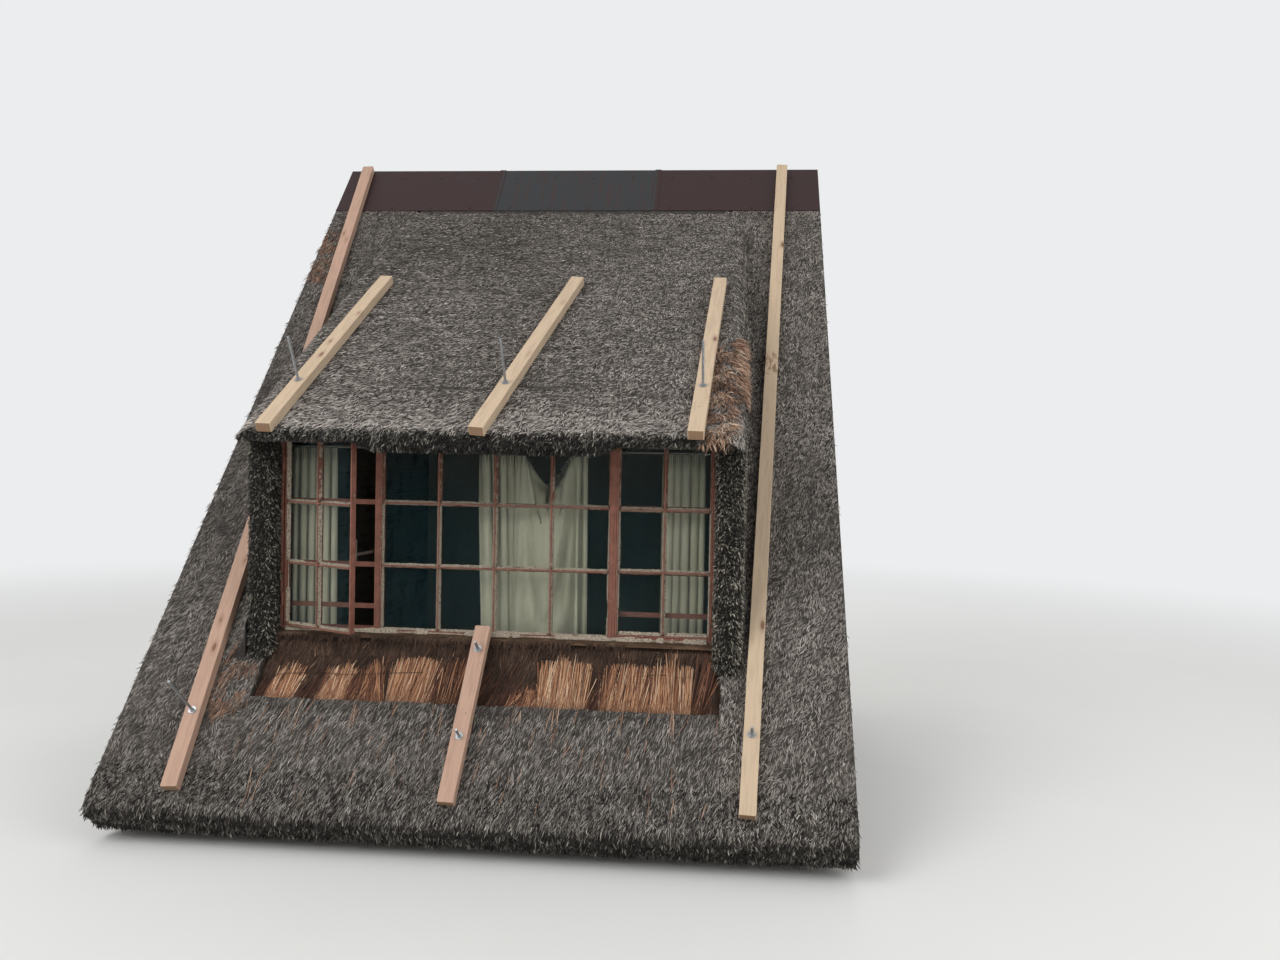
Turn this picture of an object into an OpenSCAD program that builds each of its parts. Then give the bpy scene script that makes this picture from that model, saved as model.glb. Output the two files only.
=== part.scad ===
// Thatched shed dormer with a steel window, in a slice of its roof from eave to ridge.
// +Z is up, the window faces -Y, and the origin is the middle of the base.

/* [Roof] */
// Width of the slice of roof
roof_w = 3500; // [3300:10:4000]
// Pitch of the main roof, degrees
roof_pitch = 49; // [46:0.5:52]
// Depth from the window's face back to the ridge
ridge_y = 2640; // [2400:10:2900]
// Reach of the eave in front of the window's face
eave_reach = 606; // [560:1:640]
// Thickness of the main roof's thatch
thatch_t = 200; // [160:5:210]
// Distance of the wall plate's inner edge behind the eave
plate_in = 335; // [320:5:350]
// Radius of the main thatch's top edge at the eave
eave_r = 70; // [20:5:90]
// Length down the slope of the grey coat that is missing below the window
bare_run = 365; // [200:5:500]
// Depth to which the bare strip has worn
bare_drop = 34; // [10:1:80]
// Length down the slope of the rotten band that rises to the ledge
rot_run = 170; // [80:5:260]

/* [Dormer thatch] */
// Width over the thatched cheeks
dormer_w = 2470; // [2440:10:2600]
// Thickness of the dormer's thatch
dormer_t = 140; // [110:5:170]
// Reach of the dormer's eave in front of the window's face
lip_reach = 300; // [240:5:340]
// Drop of the dormer's cut eave below the window's head
lip_drop = 60; // [30:5:70]
// Rise of the cut eave at both ends, over the side windows
lip_rise = 45; // [10:1:60]
// Radius of the dormer's top edge at the eave
lip_r = 95; // [40:5:110]
// Distance down the slope from the capping to the top of the dormer roof
top_drop = 30; // [10:5:120]
// Radius of the dormer roof's shoulders
shoulder_r = 120; // [60:5:130]
// Reach of the cheeks' front edge in front of the window's face
cheek_reach = 100; // [60:5:140]
// Radius of the cheeks' front edges
cheek_r = 50; // [20:1:60]
// Radius of the swept valley beside the left cheek
valley_left_r = 110; // [60:5:115]
// Radius of the swept valley beside the right cheek
valley_right_r = 30; // [20:1:32]

/* [Ridge capping] */
// Length of the capping down the slope
cap_wing = 490; // [300:10:600]
// Thickness of the capping with its folds
cap_t = 4; // [2:0.5:6]
// Height of the capping's turned down back edge
cap_back = 140; // [60:5:200]
// Thickness of the straps over the capping's joints
strap_t = 3; // [1:0.5:5]
// Width of a joint strap
strap_w = 45; // [20:1:70]
// Number of sheets in the capping
cap_sheets = 3; // [1:1:5]

/* [Timber] */
// Side of a square post or beam
post = 76; // [60:1:90]
// Height of the head beam's front edge, whose top slopes with the dormer roof
head_lip = 8; // [4:1:30]
// Thickness of the boarded cheek and front walls
wall_t = 40; // [25:1:50]
// Thickness of the back wall
back_t = 80; // [60:5:120]
// Width of a rafter
rafter_w = 60; // [45:1:80]
// Depth of a main rafter
rafter_d = 100; // [80:1:110]
// Diameter of the dormer's rafter poles
pole_d = 80; // [60:1:90]
// Distance of the outer rafter poles from the cheek walls, clear of the battens' rods
pole_in = 100; // [90:5:160]
// Thickness of a lath
lath_t = 25; // [20:1:32]
// Width of a lath
lath_w = 38; // [30:1:50]
// Length of the lowest lath's overhang below the wall plate, along the slope
lath_foot = 60; // [40:5:80]
// Spacing of the laths
lath_pitch = 250; // [220:5:300]
// Height of the wall plate and the floor
base_h = 100; // [80:5:120]
// Width of the wall plate
plate_w = 100; // [80:5:120]
// Thickness of the floor boards
board_t = 30; // [20:1:35]

/* [Window] */
// Height of the window sill above the base
sill_z = 930; // [920:5:1100]
// Drop from the sill to the thatch below it
sill_drop = 23; // [20:1:60]
// Overall width of the window
window_w = 2200; // [2100:10:2300]
// Overall height of the window
window_h = 980; // [930:5:1000]
// Distance from the middle to each coupling mullion's centre
mullion_x = 590; // [560:5:640]
// Width of a coupling mullion
mullion_w = 12; // [10:1:50]
// Depth of the fixed frames
frame_d = 45; // [40:1:50]
// Face width of the fixed frames
frame_face = 14; // [12:1:30]
// Face width of the casements
sash_face = 14; // [12:1:36]
// Depth of the casements
sash_d = 30; // [26:1:34]
// Clearance round a casement
sash_gap = 2; // [1:0.5:3]
// Thickness of the rolled steel's legs
leg_t = 6; // [4:0.5:8]
// Width of a glazing bar's flange behind the glass
bar_flange = 22; // [16:1:26]
// Depth of a glazing bar's stem in front of its flange
bar_stem = 20; // [14:1:22]
// Thickness of the glass
glass_t = 4; // [3:0.5:5]
// Clearance round each pane
pane_gap = 1.5; // [1:0.5:2]
// Panes across the middle window
centre_panes = 4; // [3:1:5]
// Panes across each side window
side_panes = 2; // [1:1:3]
// Rows of panes
pane_rows = 3; // [2:1:4]
// Angle at which the left casement stands open, degrees
open_angle = 26; // [5:1:45]

/* [Fittings] */
// Width of a guard bar
guard_w = 25; // [16:1:32]
// Thickness of a guard bar
guard_t = 6; // [4:0.5:8]
// Height of the lowest guard bar above the sill
guard_low = 120; // [70:5:140]
// Diameter of a hinge knuckle
knuckle_d = 14; // [10:0.5:16]
// Length of a hinge knuckle
knuckle_l = 70; // [40:1:90]
// Thickness of a hinge leaf
leaf_t = 3; // [2:0.5:4]
// Width of a handle's plate
handle_w = 16; // [12:1:20]
// Length of a handle's lever
lever_l = 105; // [70:1:130]
// Height of the handles above the sill
handle_h = 465; // [420:5:520]
// Height of the stay above the sill
stay_h = 400; // [370:5:410]
// Reach of the ledge under the window
ledge_reach = 45; // [30:1:90]
// Thickness of the ledge
ledge_t = 14; // [8:1:20]
// Drop of the ledge's back edge below the sill
ledge_drop = 4; // [2:1:8]
// Fall of the ledge from its back edge to its front edge
ledge_fall = 10; // [2:1:20]

/* [Curtains] */
// Diameter of the curtain rail
rail_d = 16; // [12:1:22]
// Drop of the rail's centre below the window's head
rail_drop = 54; // [36:1:60]
// Distance of the rail behind the window's face
rail_y = 125; // [115:1:160]
// Width of the left curtain, gathered at its wall
curtain_left_w = 240; // [150:5:300]
// Width of the middle curtain
curtain_mid_w = 560; // [300:10:900]
// Distance of the middle curtain's centre to the right of the middle
curtain_mid_x = 160; // [-100:5:200]
// Width of the right curtain
curtain_right_w = 215; // [150:5:260]
// Distance of the right curtain from its wall
curtain_right_in = 65; // [10:5:120]
// Thickness of a gathered curtain
curtain_t = 26; // [15:1:40]
// Drop of the middle curtain where it has come off its hooks
curtain_sag = 170; // [40:5:260]
// Length of the curtains below the sill
curtain_below = 40; // [20:5:120]

/* [Battens] */
// Width of a batten across the thatch
batten_w = 76; // [60:1:90]
// Height of a batten
batten_h = 50; // [30:1:60]
// Length of the battens on the dormer roof
batten_l = 1800; // [1200:10:1900]
// Reach of the dormer battens' feet beyond the front of the eave
batten_over = 12; // [0:1:20]
// Distance of a long batten's foot up from the eave, along the slope
batten_foot = 115; // [100:5:200]
// Distance of the apron batten's foot up from the eave, along the slope
apron_foot = 110; // [100:5:200]
// Length of the apron batten beyond the ledge's front edge
ledge_over = 50; // [10:5:60]
// Diameter of a threaded rod
rod_d = 12; // [8:1:16]
// Height of the dormer battens' rods above them
rod_up = 240; // [100:5:320]
// Height of the left long batten's rod above it
rod_long = 280; // [100:5:320]
// Height of a short rod above its batten
rod_short = 70; // [40:5:120]
// Depth of a rod below the thatch it holds
rod_below = 70; // [60:1:90]
// Distance of the apron batten's lower rod from its foot
apron_rod_low = 310; // [285:5:400]
// Distance of the apron batten's upper rod from its top end
apron_rod_high = 128; // [120:1:180]
// Depth of thatch that the apron batten's upper rod passes
apron_rod_t = 35; // [20:5:40]

/* [Hidden] */
// Small gap between pieces that only rest near each other
fit = 0.3;
// Much more than any size here, for cutting tools
far = 8000;
// Colours, as the photograph shows them
old_thatch = [0.33, 0.31, 0.29];
roof_thatch = [0.42, 0.40, 0.37];
reed_orange = [0.74, 0.51, 0.31];
rust_red = [0.47, 0.29, 0.24];
old_timber = [0.35, 0.28, 0.22];
new_pine = [0.78, 0.65, 0.49];
cream = [0.6, 0.59, 0.5];
wall_grey = [0.5, 0.47, 0.42];
// Places along Y, from the window's face
plane_shift = (eave_reach - ridge_y) / 2;
thatch_back = ridge_y - cap_t;
pole_y = ridge_y - back_t;
plate_back = plate_in - eave_reach;
plate_front = plate_back - plate_w;
// Heights of the roof planes
slope_z0 = sill_z - sill_drop;
main_v = 1 / cos(roof_pitch);
function slope_z(y) = slope_z0 + tan(roof_pitch) * y;
head_z = sill_z + window_h;
lip_z = head_z - lip_drop;
rail_z = head_z - rail_drop;
// The dormer roof rises from the head beam's front edge to just below the capping
dormer_top_y = ridge_y - (cap_wing + top_drop) * cos(roof_pitch);
cap_y = ridge_y - cap_wing * cos(roof_pitch);
dormer_rise = slope_z(dormer_top_y) - head_z - head_lip;
dormer_pitch = acos((dormer_t + lath_t) / norm([dormer_rise, dormer_top_y])) - atan2(dormer_top_y, dormer_rise);
dorm_v = 1 / cos(dormer_pitch);
function dormer_z(y) = slope_z(dormer_top_y) + tan(dormer_pitch) * (y - dormer_top_y);
// Height of the underside of the dormer's laths, and of its thatch
function dormer_lath_z(y) = dormer_z(y) - (dormer_t + lath_t) * dorm_v;
function dormer_under_z(y) = dormer_z(y) - dormer_t * dorm_v;
rafter_under = (thatch_t + lath_t + rafter_d) * main_v;
pole_top = slope_z(pole_y) - (thatch_t + lath_t) * main_v;
pole_h = rafter_d * main_v;
// Lengths along the main slope, from the window's face; the rounded eave reaches eave_reach
eave_u = (-eave_reach + eave_r * (1 - sin(roof_pitch))) / cos(roof_pitch) - eave_r;
ridge_u = ridge_y / cos(roof_pitch);
// Places along X
half_w = roof_w / 2;
win_x = window_w / 2;
wall_x = win_x + wall_t;
cheek_x = dormer_w / 2;
trimmer_x = win_x + post + 4;
side_x0 = mullion_x + mullion_w / 2;
side_w = win_x - side_x0;
centre_w = 2 * (mullion_x - mullion_w / 2);
sash_w = side_w - 2 * frame_face - 2 * sash_gap;
sash_h = window_h - 2 * frame_face - 2 * sash_gap;
glass_y = bar_stem;
// Hinge axis of the left casement, and its distance in front of the face
hinge_x = -win_x + frame_face + sash_gap;
hinge_y = -leaf_t - knuckle_d / 2;
rod_hole = rod_d + 1;
// Battens: X at the foot, X at the top, length along the slope at the foot
left_batten = [-1350, -1615];
right_batten = [1270, 1490];
roof_batten_x = [[52 - win_x, 122 - win_x], [-20, 215], [win_x - 98, win_x - 22]];
apron_batten_x = [-66, -38];

// The frame of the part: the window's face lies plane_shift behind the origin's plane
module placed() { translate([0, plane_shift, 0]) children(); }
// A Y-Z outline drawn from x0 to x1
module along_x(x0, x1) { translate([x0, 0, 0]) rotate([90, 0, 90]) linear_extrude(x1 - x0) children(); }
// An X-Z outline drawn from y0 to y1
module along_y(y0, y1) { translate([0, y1, 0]) rotate([90, 0, 0]) linear_extrude(y1 - y0) children(); }
// Axes on the main slope: Y runs up it and Z stands off it
module on_slope() { translate([0, 0, slope_z0]) rotate([roof_pitch, 0, 0]) children(); }
// Axes on the dormer roof: Y runs up it and Z stands off it
module on_dormer() { translate([0, 0, dormer_z(0)]) rotate([dormer_pitch, 0, 0]) children(); }
module box(x0, x1, y0, y1, z0, z1) { translate([x0, y0, z0]) cube([x1 - x0, y1 - y0, z1 - z0]); }
module both_sides() { children(); mirror([1, 0, 0]) children(); }
// Points of an arc about (cx, cy)
function arc(cx, cy, r, a0, a1, n = 8) =
    [for (i = [0:n]) let (a = a0 + (a1 - a0) * i / n) [cx + r * cos(a), cy + r * sin(a)]];

// Floor and walls
module floor_joists() {
    n = 7;
    color(old_timber) placed()
        for (i = [0:n - 1])
            translate([-half_w + i * (roof_w - rafter_w) / (n - 1), plate_back, 0])
                cube([rafter_w, pole_y - plate_back, base_h - board_t]);
}
module floor_boards() {
    color(old_timber) placed() box(-half_w, half_w, plate_back, pole_y, base_h - board_t, base_h);
}
module wall_plate() {
    color(old_timber) placed() box(-half_w, half_w, plate_front, plate_back, 0, base_h);
}
module front_wall() {
    color(wall_grey) placed() box(-win_x, win_x, 0, wall_t, base_h, sill_z - post);
}
// A cheek wall stands behind its corner post and stops under the dormer's laths
module cheek_wall() {
    along_x(win_x, wall_x) polygon([[post, base_h], [pole_y, base_h],
        [pole_y, dormer_lath_z(pole_y)], [post, dormer_lath_z(post)]]);
}
module cheek_wall_right() { color(wall_grey) placed() cheek_wall(); }
module cheek_wall_left() { color(wall_grey) placed() mirror([1, 0, 0]) cheek_wall(); }
module corner_posts() {
    color(old_timber) placed() both_sides() box(win_x, win_x + post, 0, post, base_h, head_z);
}
module back_wall() {
    color(wall_grey) placed() box(-half_w, half_w, pole_y, ridge_y, 0, pole_top - pole_h);
}
// The ridge pole's top follows the laths of the dormer in the middle and of the main roof beside it
module pole_part(x0, x1, top, pitch) {
    along_x(x0, x1) polygon([[pole_y, pole_top - pole_h], [ridge_y, pole_top - pole_h],
        [ridge_y, top + tan(pitch) * back_t], [pole_y, top]]);
}
module ridge_pole() {
    color(old_timber) placed() union() {
        pole_part(-wall_x, wall_x, dormer_lath_z(pole_y), dormer_pitch);
        both_sides() pole_part(wall_x, half_w, pole_top, roof_pitch);
    }
}

// Rafters, laths and beams
// One main rafter with its foot on the plate, ending plumb at y1
module main_rafter(x, y1) {
    d0 = (thatch_t + lath_t) * main_v;
    k = tan(roof_pitch);
    along_x(x, x + rafter_w)
        polygon([[plate_back, base_h], [plate_front, base_h], [plate_front, slope_z(plate_front) - d0],
            [y1, slope_z(y1) - d0], [y1, slope_z(y1) - rafter_under],
            [(base_h + rafter_under - slope_z0) / k, base_h]]);
}
module rafters_slope() {
    span = half_w - rafter_w - trimmer_x;
    color(old_timber) placed() both_sides() for (i = [0:2]) main_rafter(trimmer_x + i * span / 2, pole_y);
}
module rafters_apron() {
    n = 4;
    step = (2 * win_x - rafter_w) / (n - 1);
    color(old_timber) placed() for (i = [0:n - 1]) main_rafter(-win_x + i * step, 0);
}
module rafters_dormer() {
    n = 6;
    z = -dormer_t - lath_t - pole_d / 2;
    x0 = -win_x + pole_in + pole_d / 2;
    step = -2 * x0 / (n - 1);
    color(old_timber) placed() intersection() {
        box(-win_x, win_x, post, pole_y, base_h, far);
        on_dormer() for (i = [0:n - 1]) translate([x0 + i * step, 0, z])
            rotate([-90, 0, 0]) translate([0, 0, -post]) cylinder(h = ridge_y * 1.3, d = pole_d, $fn = 24);
    }
}
module head_beam() {
    color(old_timber) placed() along_x(-win_x - post, win_x + post)
        polygon([[0, head_z], [post, head_z], [post, dormer_lath_z(post)], [0, dormer_lath_z(0)]]);
}
module sill_beam() { color(old_timber) placed() box(-win_x, win_x, 0, post, sill_z - post, sill_z); }
// Laths up a slope, from u[0] to u[1] along it, with their tops at height n off it
function lath_step(u) = let (run = u[1] - u[0] - lath_w) run / floor(run / lath_pitch);
module laths(x0, x1, u, n) {
    step = lath_step(u);
    for (i = [0:round((u[1] - u[0] - lath_w) / step)])
        translate([x0, u[0] + i * step, n - lath_t]) cube([x1 - x0, lath_w, lath_t]);
}
lath_back = (thatch_t + lath_t) * tan(roof_pitch);
slope_laths = [plate_front / cos(roof_pitch) - lath_foot, pole_y / cos(roof_pitch) - lath_back];
apron_laths = [slope_laths[0], -lath_back - lath_w / 2];
dormer_laths = [-dormer_t * tan(dormer_pitch), pole_y * dorm_v - 2 * lath_w];
// The middle of the lowest bay between laths, where a rod passes
function lowest_bay(u) = u[0] + (lath_step(u) + lath_w) / 2;
module laths_slope() {
    color(old_timber) placed() both_sides() difference() {
        on_slope() laths(wall_x, half_w, slope_laths, -thatch_t);
        box(win_x, win_x + post, 0, post, base_h, far);
    }
}
module laths_apron() {
    color(old_timber) placed() on_slope() laths(-wall_x, wall_x, apron_laths, -thatch_t);
}
module laths_dormer() {
    color(old_timber) placed() on_dormer() laths(-wall_x, wall_x, dormer_laths, -dormer_t);
}

// Thatch of the main roof
// Side outline of the main thatch in slope axes, from the eave to u1, with its top at n1
module eave_outline(u1, n1 = 0) {
    polygon(concat(arc(eave_u + eave_r, n1 - eave_r, eave_r, 180, 90),
        [[u1, n1], [u1, -thatch_t]],
        arc(eave_u + 30, -thatch_t + 30, 30, 270, 180, 4)));
}
// The strip of roof beside the dormer, with the swept valley at the foot of the cheek
module slope_thatch(valley_r, batten) {
    drop = shoulder_r * dorm_v;
    difference() {
        union() {
            on_slope() along_x(wall_x, half_w) eave_outline(ridge_u + 400);
            intersection() {
                on_slope() along_y(-far, ridge_u) polygon(concat([[cheek_x, 0]],
                    arc(cheek_x + valley_r, valley_r, valley_r, 270, 180)));
                along_x(cheek_x, half_w) polygon([[-cheek_reach, 0], [ridge_y, 0],
                    [ridge_y, dormer_z(ridge_y) - drop], [-cheek_reach, dormer_z(-cheek_reach) - drop]]);
            }
        }
        box(0, far, thatch_back, far, -far, far);
        box(win_x, win_x + post + fit, -fit, post + fit, -far, far);
        rod_on_slope(batten, rod_hole, far);
    }
}
module thatch_slope_right() {
    color(old_thatch) placed() slope_thatch(valley_right_r, right_batten);
}
module thatch_slope_left() {
    color(old_thatch) placed() mirror([1, 0, 0]) slope_thatch(valley_left_r, -left_batten);
}
module thatch_apron_coat() {
    color(old_thatch) placed() difference() {
        on_slope() along_x(-wall_x, wall_x) eave_outline(-bare_run);
        apron_rod_tools(rod_hole, far);
    }
}
module thatch_apron_base() {
    // The rotten band ends just below the ledge
    n = min(0, (sill_drop - ledge_t - ledge_drop) * cos(roof_pitch)) - fit;
    color(reed_orange) placed() difference() {
        along_x(-wall_x, wall_x) intersection() {
            translate([0, slope_z0]) rotate(roof_pitch)
                polygon([[-bare_run, -thatch_t], [far, -thatch_t], [far, n], [-0.25 * rot_run, n],
                    [-0.6 * rot_run, -0.75 * bare_drop], [-rot_run, -bare_drop], [-bare_run, -bare_drop]]);
            translate([-far, -far]) square([far, 2 * far]);
        }
        apron_rod_tools(rod_hole, far);
    }
}

// Thatch of the dormer
module cheek_thatch() {
    r = cheek_r;
    y_end = (dormer_under_z(0) - slope_z0) / (tan(roof_pitch) - tan(dormer_pitch));
    intersection() {
        along_x(0, half_w) polygon([[-cheek_reach, slope_z(-cheek_reach)], [y_end, slope_z(y_end)],
            [-cheek_reach, dormer_under_z(-cheek_reach)]]);
        linear_extrude(far) polygon(concat(
            [[wall_x, y_end], [wall_x, post], [win_x + post, post], [win_x + post, 0], [win_x, 0]],
            arc(win_x + r, -cheek_reach + r, r, 180, 270, 6),
            arc(cheek_x - r, -cheek_reach + r, r, 270, 360, 6),
            [[cheek_x, y_end]]));
    }
}
module thatch_cheek_right() { color(old_thatch) placed() cheek_thatch(); }
module thatch_cheek_left() { color(old_thatch) placed() mirror([1, 0, 0]) cheek_thatch(); }
// Side outline of the dormer roof, from its cut eave to the ridge
module roof_outline() {
    a = 90 + dormer_pitch;
    cx = -lip_reach + lip_r;
    cz = dormer_z(cx) - lip_r * dorm_v;
    polygon(concat(
        [[(lip_z - dormer_under_z(0)) / tan(dormer_pitch), lip_z], [-lip_reach + 12, lip_z]],
        arc(cx, cz, lip_r, 180, a),
        [[dormer_top_y, dormer_z(dormer_top_y)], [thatch_back, slope_z(thatch_back)],
            [thatch_back, dormer_under_z(thatch_back)]]));
}
module thatch_dormer_roof() {
    r = shoulder_r;
    color(roof_thatch) placed() difference() {
        intersection() {
            along_x(-cheek_x, cheek_x) roof_outline();
            on_dormer() along_y(-far, far) polygon(concat([[-cheek_x, -far], [cheek_x, -far]],
                arc(cheek_x - r, -r, r, 0, 90), [[cheek_x - r, far], [-cheek_x + r, far]],
                arc(-cheek_x + r, -r, r, 90, 180)));
        }
        both_sides() on_slope() box(wall_x, far, -far, far, -far, 0);
        both_sides() along_y(-far, -cheek_reach)
            polygon([[mullion_x - 60, sill_z], [far, sill_z], [far, lip_z + lip_rise],
                [side_x0 + 40, lip_z + lip_rise], [mullion_x - 60, lip_z]]);
        // Room for the top of the open casement
        both_sides() box(side_x0 + 40, win_x, -far, -cheek_reach + 20, sill_z, lip_z + lip_rise);
        for (x = roof_batten_x) rod_on_dormer(x, rod_hole, far);
    }
}

// Metal capping along the ridge
module ridge_cap() {
    v = cap_t * main_v;
    strap_v = strap_t * main_v;
    sheet_w = roof_w / cap_sheets;
    color([0.33, 0.26, 0.27]) placed() union() {
        along_x(-half_w, half_w)
            polygon([[cap_y, slope_z(cap_y)], [thatch_back, slope_z(thatch_back)],
                [thatch_back, slope_z(ridge_y) - cap_back], [ridge_y, slope_z(ridge_y) - cap_back],
                [ridge_y, slope_z(ridge_y) + v], [cap_y, slope_z(cap_y) + v]]);
        for (i = [1:1:cap_sheets - 1]) translate([i * sheet_w - half_w, 0, 0])
            along_x(-strap_w / 2, strap_w / 2)
                polygon([[cap_y, slope_z(cap_y) + v], [ridge_y, slope_z(ridge_y) + v],
                    [ridge_y, slope_z(ridge_y) + v + strap_v], [cap_y, slope_z(cap_y) + v + strap_v]]);
    }
}

// Window
// A rolled steel frame of w by h with its lower left corner at the origin
module steel_ring(w, h, face, depth) {
    difference() {
        cube([w, depth, h]);
        translate([face - leg_t, -1, face - leg_t])
            cube([w - 2 * (face - leg_t), glass_y + glass_t + 1, h - 2 * (face - leg_t)]);
        translate([face, -1, face]) cube([w - 2 * face, depth + 2, h - 2 * face]);
    }
}
// Glazing bars in the clear opening of w by h, as tees with the flange behind the glass
module glazing_bars(w, h, cols, rows) {
    y0 = glass_y + glass_t;
    for (i = [1:1:cols - 1]) translate([i * w / cols, 0, 0]) {
        translate([-leg_t / 2, 0, 0]) cube([leg_t, y0 + leg_t, h]);
        translate([-bar_flange / 2, y0, 0]) cube([bar_flange, leg_t, h]);
    }
    for (j = [1:1:rows - 1]) translate([0, 0, j * h / rows]) {
        translate([0, 0, -leg_t / 2]) cube([w, y0 + leg_t, leg_t]);
        translate([0, y0, -bar_flange / 2]) cube([w, leg_t, bar_flange]);
    }
}
// A glazed frame: its ring and bars, with the clear opening set in by the face width
module glazed_frame(w, h, face, depth, cols, rows) {
    union() {
        steel_ring(w, h, face, depth);
        translate([face, 0, face]) intersection() {
            glazing_bars(w - 2 * face, h - 2 * face, cols, rows);
            cube([w - 2 * face, depth, h - 2 * face]);
        }
    }
}
// The panes of a glazed frame, each set between its bars
module panes(w, h, face, cols, rows) {
    dx = (w - 2 * face) / cols;
    dz = (h - 2 * face) / rows;
    edge = leg_t / 2 + pane_gap;
    for (i = [0:cols - 1], j = [0:rows - 1]) {
        x0 = face + i * dx + (i == 0 ? -leg_t + pane_gap : edge);
        x1 = face + (i + 1) * dx - (i == cols - 1 ? -leg_t + pane_gap : edge);
        z0 = face + j * dz + (j == 0 ? -leg_t + pane_gap : edge);
        z1 = face + (j + 1) * dz - (j == rows - 1 ? -leg_t + pane_gap : edge);
        translate([x0, glass_y, z0]) cube([x1 - x0, glass_t, z1 - z0]);
    }
}
module sill_ledge() {
    color(old_thatch) placed() along_x(-win_x, win_x)
        translate([0, sill_z - ledge_drop]) polygon([[0, -ledge_t], [0, 0], [-ledge_reach, -ledge_fall],
            [-ledge_reach, -ledge_fall - ledge_t]]);
}
module side_frame() {
    translate([side_x0, 0, sill_z]) difference() {
        cube([side_w, frame_d, window_h]);
        translate([frame_face, -1, frame_face])
            cube([side_w - 2 * frame_face, sash_d + 1, window_h - 2 * frame_face]);
        translate([frame_face + leg_t, -1, frame_face + leg_t])
            cube([side_w - 2 * frame_face - 2 * leg_t, frame_d + 2, window_h - 2 * frame_face - 2 * leg_t]);
    }
}
module frame_right() { color(rust_red) placed() side_frame(); }
module frame_left() { color(rust_red) placed() mirror([1, 0, 0]) side_frame(); }
module frame_centre() {
    color(rust_red) placed() translate([-centre_w / 2, 0, sill_z])
        glazed_frame(centre_w, window_h, frame_face, frame_d, centre_panes, pane_rows);
}
module mullions() {
    color(rust_red) placed() both_sides()
        box(mullion_x - mullion_w / 2, mullion_x + mullion_w / 2, -4, frame_d + 6, sill_z, head_z);
}
// Axes of a closed casement, from its hinge edge towards the middle of the window
module at_right_sash() {
    translate([side_x0 + frame_face + sash_gap, 0, sill_z + frame_face + sash_gap]) children();
}
module at_left_sash() {
    translate([hinge_x, hinge_y, 0]) rotate([0, 0, -open_angle]) translate([0, -hinge_y, 0])
        translate([0, 0, sill_z + frame_face + sash_gap]) children();
}
module casement() { glazed_frame(sash_w, sash_h, sash_face, sash_d - 0.5, side_panes, pane_rows); }
module casement_right() { color(rust_red) placed() at_right_sash() casement(); }
module casement_left() { color(rust_red) placed() at_left_sash() casement(); }
module glass_right() {
    color([0.2, 0.3, 0.33]) placed() at_right_sash() panes(sash_w, sash_h, sash_face, side_panes, pane_rows);
}
module glass_left() {
    color([0.2, 0.3, 0.33]) placed() at_left_sash() panes(sash_w, sash_h, sash_face, side_panes, pane_rows);
}
module glass_centre() {
    color([0.2, 0.3, 0.33]) placed() translate([-centre_w / 2, 0, sill_z])
        panes(centre_w, window_h, frame_face, centre_panes, pane_rows);
}

// Fittings
module guard_bars() {
    row_h = (window_h - 2 * frame_face) / pane_rows;
    rows = concat([guard_low], [for (j = [1:1:pane_rows - 1]) frame_face + j * row_h]);
    color(rust_red) placed() both_sides() for (z = rows)
        box(side_x0 + 6, win_x - 6, frame_d, frame_d + guard_t, sill_z + z - guard_w / 2,
            sill_z + z + guard_w / 2);
}
// A hinge about the Z axis: a knuckle, a leaf to the frame at -X and a leaf to the casement at +X
module hinge(angle) {
    y = -hinge_y;
    union() {
        translate([0, 0, -knuckle_l / 2]) cylinder(h = knuckle_l, d = knuckle_d, $fn = 24);
        translate([-frame_face + 4, y - leaf_t, -knuckle_l / 2]) cube([frame_face - 4, leaf_t, knuckle_l]);
        rotate([0, 0, -angle]) translate([0, y - leaf_t, -knuckle_l / 2])
            cube([sash_face - 6, leaf_t, knuckle_l]);
    }
}
module casement_hinges() {
    color(rust_red) placed() for (z = [0.15, 0.85]) {
        translate([hinge_x, hinge_y, sill_z + z * window_h]) hinge(open_angle);
        mirror([1, 0, 0]) translate([hinge_x, hinge_y, sill_z + z * window_h]) hinge(0);
    }
}
// A lever handle on the inner face of a free stile, with its plate at the origin
module handle() {
    union() {
        translate([-handle_w / 2, 0, -35]) cube([handle_w, 3, 70]);
        rotate([-90, 0, 0]) cylinder(h = 16, d = 12, $fn = 24);
        translate([-7, 10, -lever_l + 10]) cube([14, 6, lever_l]);
    }
}
// A point of the open casement, given across it and behind its face
function sash_point(x, y) = [hinge_x + x * cos(open_angle) + (y - hinge_y) * sin(open_angle),
    hinge_y - x * sin(open_angle) + (y - hinge_y) * cos(open_angle)];
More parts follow.
